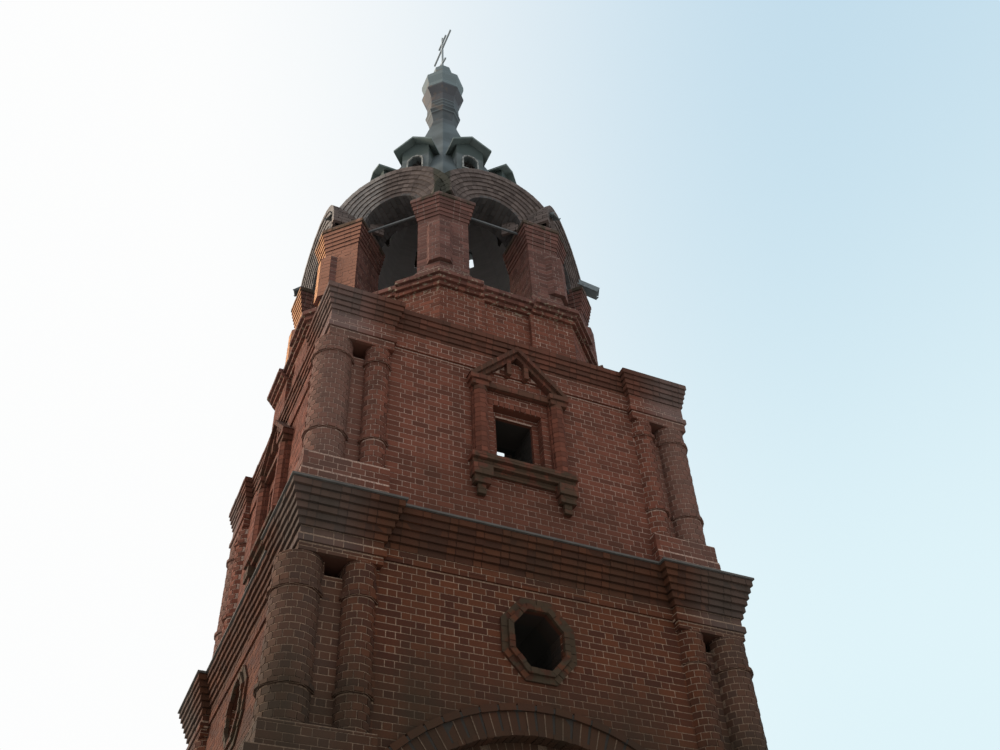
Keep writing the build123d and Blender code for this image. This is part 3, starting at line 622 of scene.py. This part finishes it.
# x, y and radius of a corner column, of the south-west one and of a side column, all for the north-east pier;
# foot, head and the two rings' levels of a shaft
LOWER_COLUMNS = ((3.090, 3.090, 0.245), (3.210, 2.990, 0.283), (2.440, 3.110, 0.195))
LOWER_SHAFT = (6.750, 9.010, 7.225, 8.495)
UPPER_COLUMNS = ((2.930, 2.930, 0.245), (3.010, 2.900, 0.268), (2.340, 3.000, 0.172))
UPPER_SHAFT = (10.665, 13.050, 11.165, 12.690)


def turn_to(i, sides=4):
    """The turn from the front to another side of the square or octagon, counted eastwards."""
    return Matrix.Rotation(2 * math.pi / sides * i, 3, "Z")


def all_columns(corner, southwest, side):
    """Centre and radius of a storey's twelve columns, from those of the north-east pier."""
    places = []
    for i in range(4):
        for x, y, radius in (southwest if i == SOUTHWEST else corner, side, (side[1], side[0], side[2])):
            places.append((turn_to(i) @ Vector((x, y, 0)), radius))
    return places


def on_column(columns, shaft):
    """A test for the flat faces of the CAD columns, which the round courses cover."""
    foot, head, *_ = shaft
    slack, facing = 1.1, 0.8

    def test(place, normal):
        for centre, radius in columns:
            away = (place - centre).to_2d()
            if foot < place.z < head and away.length < (radius + RING_PROUD) * slack \
                    and away.normalized().dot(normal.to_2d()) > facing:
                return True
        return False
    return test


def round_course(centre, reach, z0, z1, row):
    count = round(2 * math.pi * reach / (HEADER + CROSS_JOINT))
    width = 2 * math.pi * reach / count - CROSS_JOINT
    laid = []
    for i in range(count):
        angle = 2 * math.pi * (i + row % 2 / 2) / count
        out = Vector((math.cos(angle), math.sin(angle), 0))
        place = centre + out * reach + UP * ((z0 + z1) / 2)
        if in_the_open(place + out * COLUMN_LEAD, out):
            laid.append(lay(place, out, UP, width, z1 - z0 - BED_JOINT))
    return laid


def column_bricks(columns, shaft, top):
    foot, head, *rings = shaft
    laid = []
    for centre, radius in columns:
        for row in range(math.floor((top - head) / COURSE), math.ceil((top - foot) / COURSE)):
            z1, z0 = min(head, top - row * COURSE), max(foot, top - (row + 1) * COURSE)
            if z1 - z0 > LEAST_RING:
                laid += round_course(centre, radius * ROUND_PROUD, z0, z1, row)
        for level in rings:
            laid += round_course(centre, (radius + RING_PROUD) * ROUND_PROUD, level, level + RING_HEIGHT, 0)
    return laid


def finish_piece(name, made, material):
    """A built mesh as a piece of one material."""
    bmesh.ops.recalc_face_normals(made, faces=made.faces[:])
    mesh = bpy.data.meshes.new(name)
    made.to_mesh(mesh)
    made.free()
    mesh.materials.append(material)
    add_piece(name, mesh)


def column_cores(name, columns, shaft):
    """Round mortar bodies just behind the bricks' faces."""
    foot, head, *rings = shaft
    drums = [(foot, head, 0.0)] + [(z + CORE_INSET, z + RING_HEIGHT - CORE_INSET, RING_PROUD) for z in rings]
    made = bmesh.new()
    for centre, radius in columns:
        for low, high, extra in drums:
            reach = radius * ROUND_PROUD + CORE_PROUD + extra
            spot = Matrix.Translation(centre + UP * ((low + high) / 2))
            bmesh.ops.create_cone(made, cap_ends=True, segments=CORE_SIDES, radius1=reach, radius2=reach,
                                  depth=high - low, matrix=spot)
    finish_piece(name, made, mortar)


lower_columns = all_columns(*LOWER_COLUMNS)
upper_columns = all_columns(*UPPER_COLUMNS)
build_bricks("lower_columns", column_bricks(lower_columns, LOWER_SHAFT, low_top), "brickwork", brick)
build_bricks("upper_columns", column_bricks(upper_columns, UPPER_SHAFT, up_top), "brickwork", brick)
column_cores("lower_column_cores", lower_columns, LOWER_SHAFT)
column_cores("upper_column_cores", upper_columns, UPPER_SHAFT)


# Portal arches. An outer ring of bricks on end in pairs, with wide dark gaps between the pairs and a lime
# joint in the middle of each, a thin hood round it, and a recessed ring inside; the soffits are courses on
# edge. The CAD rings behind them show as the open joints between the pairs, near black with painted shade.
PORTAL_CENTRE = 4.580
PORTAL_RADII = (2.270, 2.535, 2.835, 2.925)  # inner edges of recessed ring, outer ring and hood, outer edge
PORTAL_PLANES = (2.980, 3.200, 3.232)  # faces of the three, from the tower's axis
PORTAL_BACK = 2.20  # where the soffit's bricks end, inside the wall
PORTAL_HEAD = 7.3  # above both rings
SOFFIT_COUNTS = (72, 80)  # courses round the recessed ring and the outer one
PAIR = 0.240
PAIR_GAP = 0.026
PAIR_JOINT = 0.014
JOINT_PROUD = 0.004
HOOD_GAP = 0.004
HOOD_JOINT = 0.010
OVERLAP = 0.002  # of the recessed ring's bricks and their joint
ARCH_LEAD = 0.012


def arch_course(turn, shift, centre, plane, inner, outer, count, width, offset=0.0):
    """Bricks on end round an arch: their length runs along the curve and their height outwards."""
    out = turn @ FRONT
    laid = []
    for j in range(count):
        angle = math.pi * (j + 0.5) / count + offset
        radial = Vector((math.cos(angle), 0, math.sin(angle)))
        middle = radial * ((inner + outer) / 2)
        place = turn @ Vector((middle.x + shift, -plane, middle.z + centre))
        if in_the_open(place + out * ARCH_LEAD, out):
            laid.append(lay(place, out, turn @ radial, width, outer - inner))
    return laid


def soffit_course(turn, shift, centre, radius, front, back, count, side):
    """Bricks along the curved face of an arch, seen from inside (side -1) or from above (side 1)."""
    along = turn @ FRONT
    width = math.pi * radius / count - CROSS_JOINT
    laid = []
    for j in range(count):
        angle = math.pi * (j + 0.5) / count
        radial = Vector((math.cos(angle), 0, math.sin(angle)))
        out = (turn @ radial) * side
        for low, high in flemish((back, front), j):
            place = turn @ Vector((radial.x * radius + shift, -(low + high) / 2, radial.z * radius + centre))
            if in_the_open(place + out * ARCH_LEAD, out):
                laid.append(lay(place, out, along.cross(out), high - low, width))
    return laid


def in_portal(place, normal):
    """The recessed ring's face, which has its own bricks."""
    square = max(abs(normal.x), abs(normal.y)) > 0.99
    return square and place.z < PORTAL_HEAD and abs(place.dot(normal) - PORTAL_PLANES[0]) < 0.01


inner, ring, hood, outer = PORTAL_RADII
recess, face, hood_face = PORTAL_PLANES
reach = (ring + hood) / 2
pairs = round(math.pi * reach / PAIR)
half = (PAIR - PAIR_GAP) / 2
portal_laid = []
portal_joints = []
for i in range(4):
    turn = turn_to(i)
    rings = ((face, ring, hood - HOOD_GAP, half - PAIR_JOINT / 2), (recess, inner, ring, half + OVERLAP))
    for side in (-1, 1):
        for plane, low, high, width in rings:
            offset = side * half / 2 / reach
            portal_laid += arch_course(turn, 0, PORTAL_CENTRE, plane, low, high, pairs, width, offset)
    for plane, low, high, _ in rings:
        plane += JOINT_PROUD
        portal_joints += arch_course(turn, 0, PORTAL_CENTRE, plane, low, high, pairs, PAIR_JOINT)
    portal_laid += arch_course(turn, 0, PORTAL_CENTRE, hood_face, hood, outer, pairs, PAIR - HOOD_JOINT)
    portal_laid += soffit_course(turn, 0, PORTAL_CENTRE, inner, recess, PORTAL_BACK, SOFFIT_COUNTS[0], -1)
    portal_laid += soffit_course(turn, 0, PORTAL_CENTRE, ring, face, recess, SOFFIT_COUNTS[1], -1)
build_bricks("portal_bricks", portal_laid, "brickwork", brick, Unevenness=0.004, Tilt=0.012)
build_bricks("portal_joints", portal_joints, "brickwork", mortar)
# near black: painted shade in the open joints between the pairs
joint_shade_look = mottled((0.010, 0.008, 0.006), (0.030, 0.022, 0.015), 20.0)
use(["portal_arches"], new_material("open_joint_shade", joint_shade_look, 1.0))


# Eight-sided windows over the portals. Each frame is a raised roll of short moulded bricks round the hole
# with a flatter row outside it, knocked about and grown over.
OCULUS_LEVEL = 8.425
OCULUS_HALF = (0.365, 0.425)
OCULUS_ROWS = ((-0.006, 0.080, 3.240), (0.080, 0.172, 3.205))  # inner and outer edge of a row, its face
OCULUS_BRICK = 0.105
OCULUS_JOINTS = (0.010, 0.004)  # along a row, and between the rows


def oculus_corners(extra):
    half, rise = OCULUS_HALF[0] + extra, OCULUS_HALF[1] + extra
    cut = math.tan(math.pi / 8)
    shares = ((1, cut), (cut, 1), (-cut, 1), (-1, cut), (-1, -cut), (-cut, -1), (cut, -1), (1, -cut))
    return [Vector((half * a, 0, OCULUS_LEVEL + rise * b)) for a, b in shares]


oculus_laid = []
for i in range(4):
    for low, high, plane in OCULUS_ROWS:
        corners = oculus_corners((low + high) / 2)
        for first, last in zip(corners, corners[1:] + corners[:1]):
            edge = last - first
            count = max(2, round(edge.length / OCULUS_BRICK))
            away = edge.normalized().cross(Vector((0, 1, 0)))
            away = away if away.dot(first - Vector((0, 0, OCULUS_LEVEL))) > 0 else -away
            for j in range(count):
                place = first + edge * ((j + 0.5) / count) + Vector((0, -plane, 0))
                oculus_laid.append(lay(turn_to(i) @ place, turn_to(i) @ FRONT, turn_to(i) @ away,
                                       edge.length / count - OCULUS_JOINTS[0], high - low - OCULUS_JOINTS[1]))
build_bricks("oculus_bricks", oculus_laid, "moulded_brick", brick, Unevenness=0.009, Tilt=0.03)


# Walls. Level courses on every upright face, cornices with bricks that stand out a little unevenly, and a row
# of bricks on end over each upper window.
LINTEL = (0.512, 12.575, 12.677, 3.062)  # half length, bottom, top, face
LINTEL_BRICK = 0.093

half, low, high, plane = LINTEL
count = round(2 * half / LINTEL_BRICK)
length = 2 * half / count - BED_JOINT
lintels = []
for i in range(4):
    for j in range(count):
        place = Vector((-half + 2 * half * (j + 0.5) / count, -plane, (low + high) / 2))
        lintels.append(lay(turn_to(i) @ place, turn_to(i) @ FRONT, UP, length, high - low))
build_bricks("window_lintels", lintels, "moulded_brick", brick, Unevenness=0.004)

on_lower, on_upper = on_column(lower_columns, LOWER_SHAFT), on_column(upper_columns, UPPER_SHAFT)
lower_laid = wall_bricks([n for n in LOWER if n != "lower_cornice"], low_top,
                         lambda place, normal: on_lower(place, normal) or in_portal(place, normal))
upper_laid = wall_bricks([n for n in UPPER if n not in ("inner_corbels", "upper_cornice")], up_top, on_upper)
cornice_laid = wall_bricks(["lower_cornice"], low_top) + wall_bricks(["upper_cornice"], up_top)
belfry_laid = wall_bricks(BELFRY, belfry_top)
build_bricks("lower_bricks", lower_laid, "brickwork", brick)
build_bricks("upper_bricks", upper_laid, "brickwork", brick)
build_bricks("cornice_bricks", cornice_laid, "moulded_brick", brick, Unevenness=0.005, Tilt=0.015)
build_bricks("belfry_bricks", belfry_laid, "brickwork", brick, Unevenness=0.003, Tilt=0.01)


# Belfry arches. Seven rings of headers on end, each prouder than the one inside it, over a soffit of courses
# on edge that old smoke has blackened; the outermost ring is the round gable's edge, with more courses over
# its back.
BELFRY_INNER = 1.850
ARCH_SPRING = 18.190
ARCH_RADIUS = 0.640
ARCH_RINGS = 7
RING_WIDTH = 0.100
RING_STEP = 0.025
RING_GAP = 0.003
SOFFIT_COURSES = 20
BACK_COURSES = 42
INSET = 0.985  # the CAD arch is made of straight parts, which lie this much inside its circle
# face and shift of each side, from the south eastwards
BELFRY_SIDES = ((2.720, 0.035), (2.835, 0.0), (2.800, 0.0), (2.780, 0.0),
                (2.750, 0.0), (2.870, 0.0), (2.900, 0.0), (2.765, 0.0))


def smoky_look(shader):
    soiled = shader.tone() * 0.6 + shader.noise(shader.place(), 9.0) * 0.4
    return shader.colour(soiled, (0.048, 0.045, 0.043), (0.105, 0.096, 0.090))


arch_laid, soffit_laid = [], []
for i, (flat, shift) in enumerate(BELFRY_SIDES):
    turn = turn_to(i, 8)
    for k in range(ARCH_RINGS):
        inner = (ARCH_RADIUS + k * RING_WIDTH) * INSET - RING_GAP
        outer = (ARCH_RADIUS + (k + 1) * RING_WIDTH) * (INSET if k < ARCH_RINGS - 1 else 1) - 2 * RING_GAP
        count = round(math.pi * (inner + outer) / 2 / (HEADER + CROSS_JOINT))
        width = math.pi * (inner + outer) / 2 / count - CROSS_JOINT
        plane = flat - (ARCH_RINGS - 1 - k) * RING_STEP
        arch_laid += arch_course(turn, shift, ARCH_SPRING, plane, inner, outer, count, width)
    front, inner = flat - (ARCH_RINGS - 1) * RING_STEP, ARCH_RADIUS * INSET - RING_GAP
    soffit_laid += soffit_course(turn, shift, ARCH_SPRING, inner, front, BELFRY_INNER, SOFFIT_COURSES, -1)
    outer = ARCH_RADIUS + ARCH_RINGS * RING_WIDTH
    arch_laid += soffit_course(turn, shift, ARCH_SPRING, outer, flat, BELFRY_INNER, BACK_COURSES, 1)
smoky = new_material("smoky_brick", smoky_look, 0.95, 0.1)
build_bricks("arch_bricks", arch_laid, "brickwork", brick, Unevenness=0.004, Tilt=0.015)
build_bricks("arch_soffits", soffit_laid, "brickwork", smoky, Unevenness=0.003, Tilt=0.01)


# Sheet metal and iron. CAD pieces with looks of their own: the tent dull green-grey outside, with the bare
# boards under it, the cupola darker with pale bands, the dormers, the cappings, the tie rods and the cross.
PATCHES = (0.5, 0.4)  # the soft step that makes the sheets' stains
FILLETS = (25.45, 25.60, 25.80, 25.96)  # levels of the cupola's mouldings


def tent_look(shader):
    _, x, y, z = shader.position()
    nx, ny, _ = shader.normal()
    sheet = mottled((0.040, 0.048, 0.047), (0.080, 0.096, 0.098), 1.3, 4.0, step=PATCHES)(shader)
    # the bare boards inside the tent: their own grey, made pale with painted light
    boards = mottled((0.34, 0.335, 0.33), (0.52, 0.51, 0.50), 3.0, 3.0, (1, 1, 6))(shader)
    inside = (nx * x + ny * y).below(0.0, 0.02) * z.below(24.5, 0.1)
    return shader.colour(inside, sheet, boards)


def dark_look(shader):
    """A light band on top, a purplish body, thin pale fillets with a shadow under each, rust to the west."""
    place, x, _, z = shader.position()
    base = mottled((0.034, 0.040, 0.040), (0.062, 0.069, 0.071), 2.0, 4.0, step=PATCHES)(shader)
    base = shader.over(base, (z.between(25.98, 0.02, 26.53, 0.02) * 0.7, (0.056, 0.052, 0.055)),
                       (z.above(26.58, 0.02), (0.110, 0.135, 0.135)))
    for level in FILLETS:
        pale = z.between(level - 0.014, 0.01, level + 0.014, 0.01)
        shadow = z.between(level - 0.07, 0.02, level - 0.016, 0.01)
        base = shader.over(base, (pale * 0.6, (0.12, 0.14, 0.14)), (shadow * 0.7, (0.022, 0.022, 0.022)))
    rust = shader.noise(place, 4.0, 4.0).above(0.60, 0.1) * x.below(0.0, 0.3) * 0.5
    return shader.colour(rust, base, (0.110, 0.078, 0.056))


def dormer_look(shader):
    """Green-grey sheet, with painted shade under the eaves."""
    base = mottled((0.060, 0.070, 0.068), (0.110, 0.125, 0.122), 3.0, 4.0, step=PATCHES)(shader)
    return shader.colour(shader.position()[3].above(21.62, 0.08), base, (0.050, 0.064, 0.058))


eaves_look = mottled((0.085, 0.110, 0.100), (0.125, 0.150, 0.140), 2.5, 4.0, step=PATCHES)
capping_look = mottled((0.050, 0.046, 0.040), (0.120, 0.110, 0.098), 6.0)
iron_look = mottled((0.075, 0.080, 0.082), (0.12, 0.12, 0.115), 9.0)
cross_look = mottled((0.15, 0.175, 0.18), (0.21, 0.235, 0.24), 9.0)

use(["tent_roof"], new_material("tent_sheet", tent_look, 0.6, 0.2))
use(["lower_neck", "cupola_skirt", "cupola", "cupola_cap"], new_material("dark_sheet", dark_look, 0.6, 0.2))
use(["dormer_walls"], new_material("dormer_sheet", dormer_look, 0.7, 0.15))
use(["dormer_roofs"], new_material("eaves_sheet", eaves_look, 0.7, 0.15))
use(["cornice_capping"], new_material("old_capping", capping_look, 0.9, 0.1))
use(["tie_rods"], new_material("iron", iron_look, 0.7, 0.2))
use(["cross"], new_material("pale_iron", cross_look, 0.6))


# Timber and trim of the roof. Boards close the corners under the tent behind the valleys. The dormers have
# pale arched frames and louvres set back in their openings, but the north-east one has lost its slats.
TIMBER_SEED = 3
BOARD = (0.158, 0.028)  # width and thickness
BOARD_PITCH = 0.165
BOARD_REACH = 2.30  # from the tower's axis
BOARD_LEVELS = (18.50, 19.10)
BOARDS = 4
DORMER_HALF = 0.165
DORMER_FOOT = 21.110
DORMER_SPRING = 21.435
DORMER_FACE = 1.630
LOST_LOUVRES = 3  # the north-east dormer
SLATS = 8
SLAT = (0.012, 0.075)  # thickness and width
SLAT_FIRST = 0.045  # over the dormer's foot
SLAT_PITCH = 0.062
SLAT_DEPTH = 0.13  # behind the dormer's face
SLAT_LEAN = (0.75, -0.66)  # upwards and inwards
SLAT_GAP = 0.004
FRAME = (0.030, 0.038)  # thickness and width
FRAME_PARTS = 7  # straight parts round the arch
SILL = (0.046, 0.034)  # thickness and width


def add_slab(made, centre, right, out, up, size):
    """A bevelled board: its middle, its three directions and its size along them."""
    spot = Matrix((right, out, up)).transposed().to_4x4()
    spot.translation = centre
    scale = Matrix.Diagonal((*size, 1.0))
    verts = bmesh.ops.create_cube(made, size=1.0, matrix=spot @ scale)["verts"]
    edges = list({e for v in verts for e in v.link_edges})
    bmesh.ops.bevel(made, geom=edges, offset=min(size) * 0.12, segments=1, affect="EDGES")


def facing(i):
    """Rightwards and outwards at one of the octagon's sides, or at a corner half-way between two."""
    turn = turn_to(i, 8)
    return turn @ Vector((1, 0, 0)), turn @ FRONT


chance = random.Random(TIMBER_SEED)
made = bmesh.new()
for i in range(8):
    right, out = facing(i + 0.5)
    for j in range(BOARDS):
        low, high = BOARD_LEVELS[0], BOARD_LEVELS[1] + chance.uniform(-0.03, 0.02)
        middle = out * (BOARD_REACH + chance.uniform(-0.008, 0.008)) + right * (BOARD_PITCH * (j - 1.5)) \
            + UP * ((low + high) / 2)
        add_slab(made, middle, right, out, UP, (*BOARD, high - low))
wood_look = mottled((0.160, 0.156, 0.150), (0.290, 0.285, 0.275), 12.0, 4.0, (1, 1, 5))
finish_piece("valley_boards", made, new_material("old_boards", wood_look, 0.9))

made = bmesh.new()
for i in range(8):
    if i == LOST_LOUVRES:
        continue
    right, out = facing(i)
    lean = (UP * SLAT_LEAN[0] + out * SLAT_LEAN[1]).normalized()
    for j in range(SLATS):
        z = DORMER_FOOT + SLAT_FIRST + SLAT_PITCH * j
        reach = DORMER_HALF - SLAT_GAP
        if z > DORMER_SPRING:
            reach = math.sqrt(max(DORMER_HALF ** 2 - (z + 0.02 - DORMER_SPRING) ** 2, 0.0009)) - SLAT_GAP
        middle = out * (DORMER_FACE - SLAT_DEPTH) + UP * z
        add_slab(made, middle, right, right.cross(lean) * -1, lean, (2 * reach, *SLAT))
slat_look = mottled((0.014, 0.009, 0.007), (0.034, 0.024, 0.018), 12.0)
finish_piece("dormer_louvres", made, new_material("old_slats", slat_look, 0.9))

made = bmesh.new()
for i in range(8):
    right, out = facing(i)
    front = out * (DORMER_FACE + 0.012)
    reach = DORMER_HALF + 0.020
    for side in (-1, 1):
        middle = front + right * (side * reach) + UP * ((DORMER_FOOT + DORMER_SPRING) / 2)
        add_slab(made, middle, right, out, UP, (FRAME[1], FRAME[0], DORMER_SPRING - DORMER_FOOT))
    add_slab(made, front + UP * (DORMER_FOOT - 0.018), right, out, UP, (2 * reach + 0.06, *SILL))
    for j in range(FRAME_PARTS):
        angle = math.pi * (j + 0.5) / FRAME_PARTS
        radial = right * math.cos(angle) + UP * math.sin(angle)
        length = 2 * (reach + FRAME[1] / 2) * math.tan(math.pi / (2 * FRAME_PARTS))
        middle = front + radial * reach + UP * DORMER_SPRING
        add_slab(made, middle, out.cross(radial), out, radial, (length, *FRAME))
frame_look = mottled((0.22, 0.22, 0.20), (0.075, 0.075, 0.068), 18.0, 4.0, step=(0.55, 0.15))
finish_piece("dormer_frames", made, new_material("worn_paint", frame_look, 0.8))


# Spouts in the valleys between the gables, bent from sheet, in place of the CAD's whole ones: some are torn
# short, the south-south-west one is lost, and the east-south-east one is a crumpled box.
SPOUT_LEVELS = (18.910, 18.480)
SPOUT_RUN = (-0.350, 0.260)
SPOUT_START = 0.1  # how far beyond the run's inner end the sheet begins
SPOUT_SHEET = 0.010
SPOUTS = ((0.14, 0.21, 0.05), (0.30, 0.25, 0.12), (0.26, 0.21, 0.06), (0.26, 0.21, 0.06),
          (0.26, 0.21, 0.06), (0.12, 0.16, 0.06), (0.06, 0.21, 0.06), None)  # lip, width, side, eastwards
BOXED = 0.1  # spouts with higher sides than this have a cover


def spout_look(shader):
    place, x, *_ = shader.position()
    stains = shader.noise(place, 8.0, 4.0).above(0.58, 0.1) * 0.5
    # painted light: the sheet lighter towards the east; the stains are the sheet's own
    return shader.over((0.050, 0.058, 0.058), (x.above(1.0, 1.5), (0.150, 0.180, 0.185)),
                       (stains, (0.050, 0.045, 0.040)))


fall = (SPOUT_LEVELS[0] - SPOUT_LEVELS[1]) / (SPOUT_RUN[1] - SPOUT_RUN[0])
made = bmesh.new()
for i, sizes in enumerate(SPOUTS):
    if sizes is None:
        continue
    lip, width, edge = sizes
    rows = [Vector((math.sin(a), -math.cos(a))) for a in (math.pi / 4 * i, math.pi / 4 * (i + 1))]
    flats = [BELFRY_SIDES[i][0], BELFRY_SIDES[(i + 1) % 8][0]]
    corner = Matrix(rows).inverted() @ Vector(flats)
    out = Vector((*corner.normalized(), 0))
    right = out.cross(UP) * -1
    run = (out - UP * fall).normalized()
    lift = right.cross(run)
    lift = lift if lift.z > 0 else lift * -1
    start = corner.length + SPOUT_RUN[0] + SPOUT_START
    length = (corner.length + lip - start) * math.hypot(1, fall)
    middle = out * start + UP * (SPOUT_LEVELS[0] - SPOUT_START * fall) + run * (length / 2)
    add_slab(made, middle, right, run, lift, (width, length, SPOUT_SHEET))
    for side in (-1, 1):
        lean = (lift + right * (side * 0.12)).normalized()
        add_slab(made, middle + right * (side * (width / 2 - 0.004)) + lean * (edge / 2), right, run, lean,
                 (SPOUT_SHEET, length - 0.012, edge))
    if edge > BOXED:
        middle = middle + lift * edge + run * 0.03
        add_slab(made, middle, right, run, lift, (width * 0.9, length * 0.86, SPOUT_SHEET))
finish_piece("sheet_spouts", made, new_material("spout_sheet", spout_look, 0.6))
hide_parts("gutter_spouts")


# The stage: a plain pale floor, soft light all round, one low soft sun from the north-west, and the camera at
# the photo's place in front of the south-west corner, looking steeply up.
FLOOR = 60
LIGHT = (1.01, 1.06, 1.13, 1)
SUN = (-0.80, 0.50, 0.32)
SUN_COLOUR = (1.0, 0.86, 0.70)
SUN_STRENGTH = 4.2
SUN_WIDTH = math.radians(25)
EYE = Vector((-5.662, -13.890, 1.600))
YAW, PITCH, ROLL = math.radians(26.47), math.radians(43.99), math.radians(-3.33)
SENSOR = 36.0
FOCAL = 1030.78 * SENSOR / 1000.0  # from pixels of a picture 1000 wide

floor_mesh = bpy.data.meshes.new("floor")
floor_mesh.from_pydata([(-FLOOR, -FLOOR, 0), (FLOOR, -FLOOR, 0), (FLOOR, FLOOR, 0), (-FLOOR, FLOOR, 0)], [],
                       [(0, 1, 2, 3)])
floor = bpy.data.objects.new("floor", floor_mesh)
bpy.context.scene.collection.objects.link(floor)
floor_mesh.materials.append(new_material("floor", lambda shader: (0.42, 0.42, 0.41, 1), 1.0))

world = bpy.data.worlds.new("sky")
bpy.context.scene.world = world
world.use_nodes = True
tree = world.node_tree
tree.nodes.clear()
sky = Shader(tree)
looking = sky.node("ShaderNodeTexCoord", output="Generated")


def towards(direction):
    """How far a look goes in a direction, from -1 to 1."""
    return sky.node("ShaderNodeVectorMath", {"operation": "DOT_PRODUCT"}, {0: looking, 1: direction}, "Value")


# the sky that the camera and reflections see is white on the left of the picture and pale blue on the right
blue = sky.colour(towards((0.0, 0.0, 1.0)).above(0.68, 0.5), (0.74, 0.90, 0.95), (0.53, 0.71, 0.83))
seen_colour = sky.colour(towards((0.895, -0.446, 0.0)).above(0.02, 0.62), (0.98, 0.985, 0.985), blue)
seen_sky = tree.nodes.new("ShaderNodeBackground")
plug(tree, seen_sky.inputs[0], seen_colour)
lit_sky = tree.nodes.new("ShaderNodeBackground")
plug(tree, lit_sky.inputs[0], LIGHT)
path = tree.nodes.new("ShaderNodeLightPath")
rays = [Value(tree, path.outputs[name]) for name in ("Is Camera Ray", "Is Glossy Ray", "Is Transmission Ray")]
mix = tree.nodes.new("ShaderNodeMixShader")
plug(tree, mix.inputs[0], rays[0].math("MAXIMUM", rays[1]).math("MAXIMUM", rays[2]))
tree.links.new(lit_sky.outputs[0], mix.inputs[1])
tree.links.new(seen_sky.outputs[0], mix.inputs[2])
out = tree.nodes.new("ShaderNodeOutputWorld")
tree.links.new(mix.outputs[0], out.inputs[0])

sun_data = bpy.data.lights.new("sun", "SUN")
sun_data.energy = SUN_STRENGTH
sun_data.angle = SUN_WIDTH
sun_data.color = SUN_COLOUR
sun = bpy.data.objects.new("sun", sun_data)
sun.matrix_world = Vector(SUN).to_track_quat("Z", "Y").to_matrix().to_4x4()
bpy.context.scene.collection.objects.link(sun)

look = Vector((math.sin(YAW) * math.cos(PITCH), math.cos(YAW) * math.cos(PITCH), math.sin(PITCH)))
side = Vector((math.cos(YAW), -math.sin(YAW), 0))
rise = side.cross(look)
axes = (side * math.cos(ROLL) + rise * math.sin(ROLL), rise * math.cos(ROLL) - side * math.sin(ROLL), -look)
camera_data = bpy.data.cameras.new("camera")
camera_data.sensor_width = SENSOR
camera_data.lens = FOCAL
camera_data.clip_end = 500
camera = bpy.data.objects.new("camera", camera_data)
bpy.context.scene.collection.objects.link(camera)
stand = Matrix(axes).transposed().to_4x4()
stand.translation = EYE
camera.matrix_world = stand
bpy.context.scene.camera = camera
bpy.context.scene.view_settings.view_transform = "Standard"
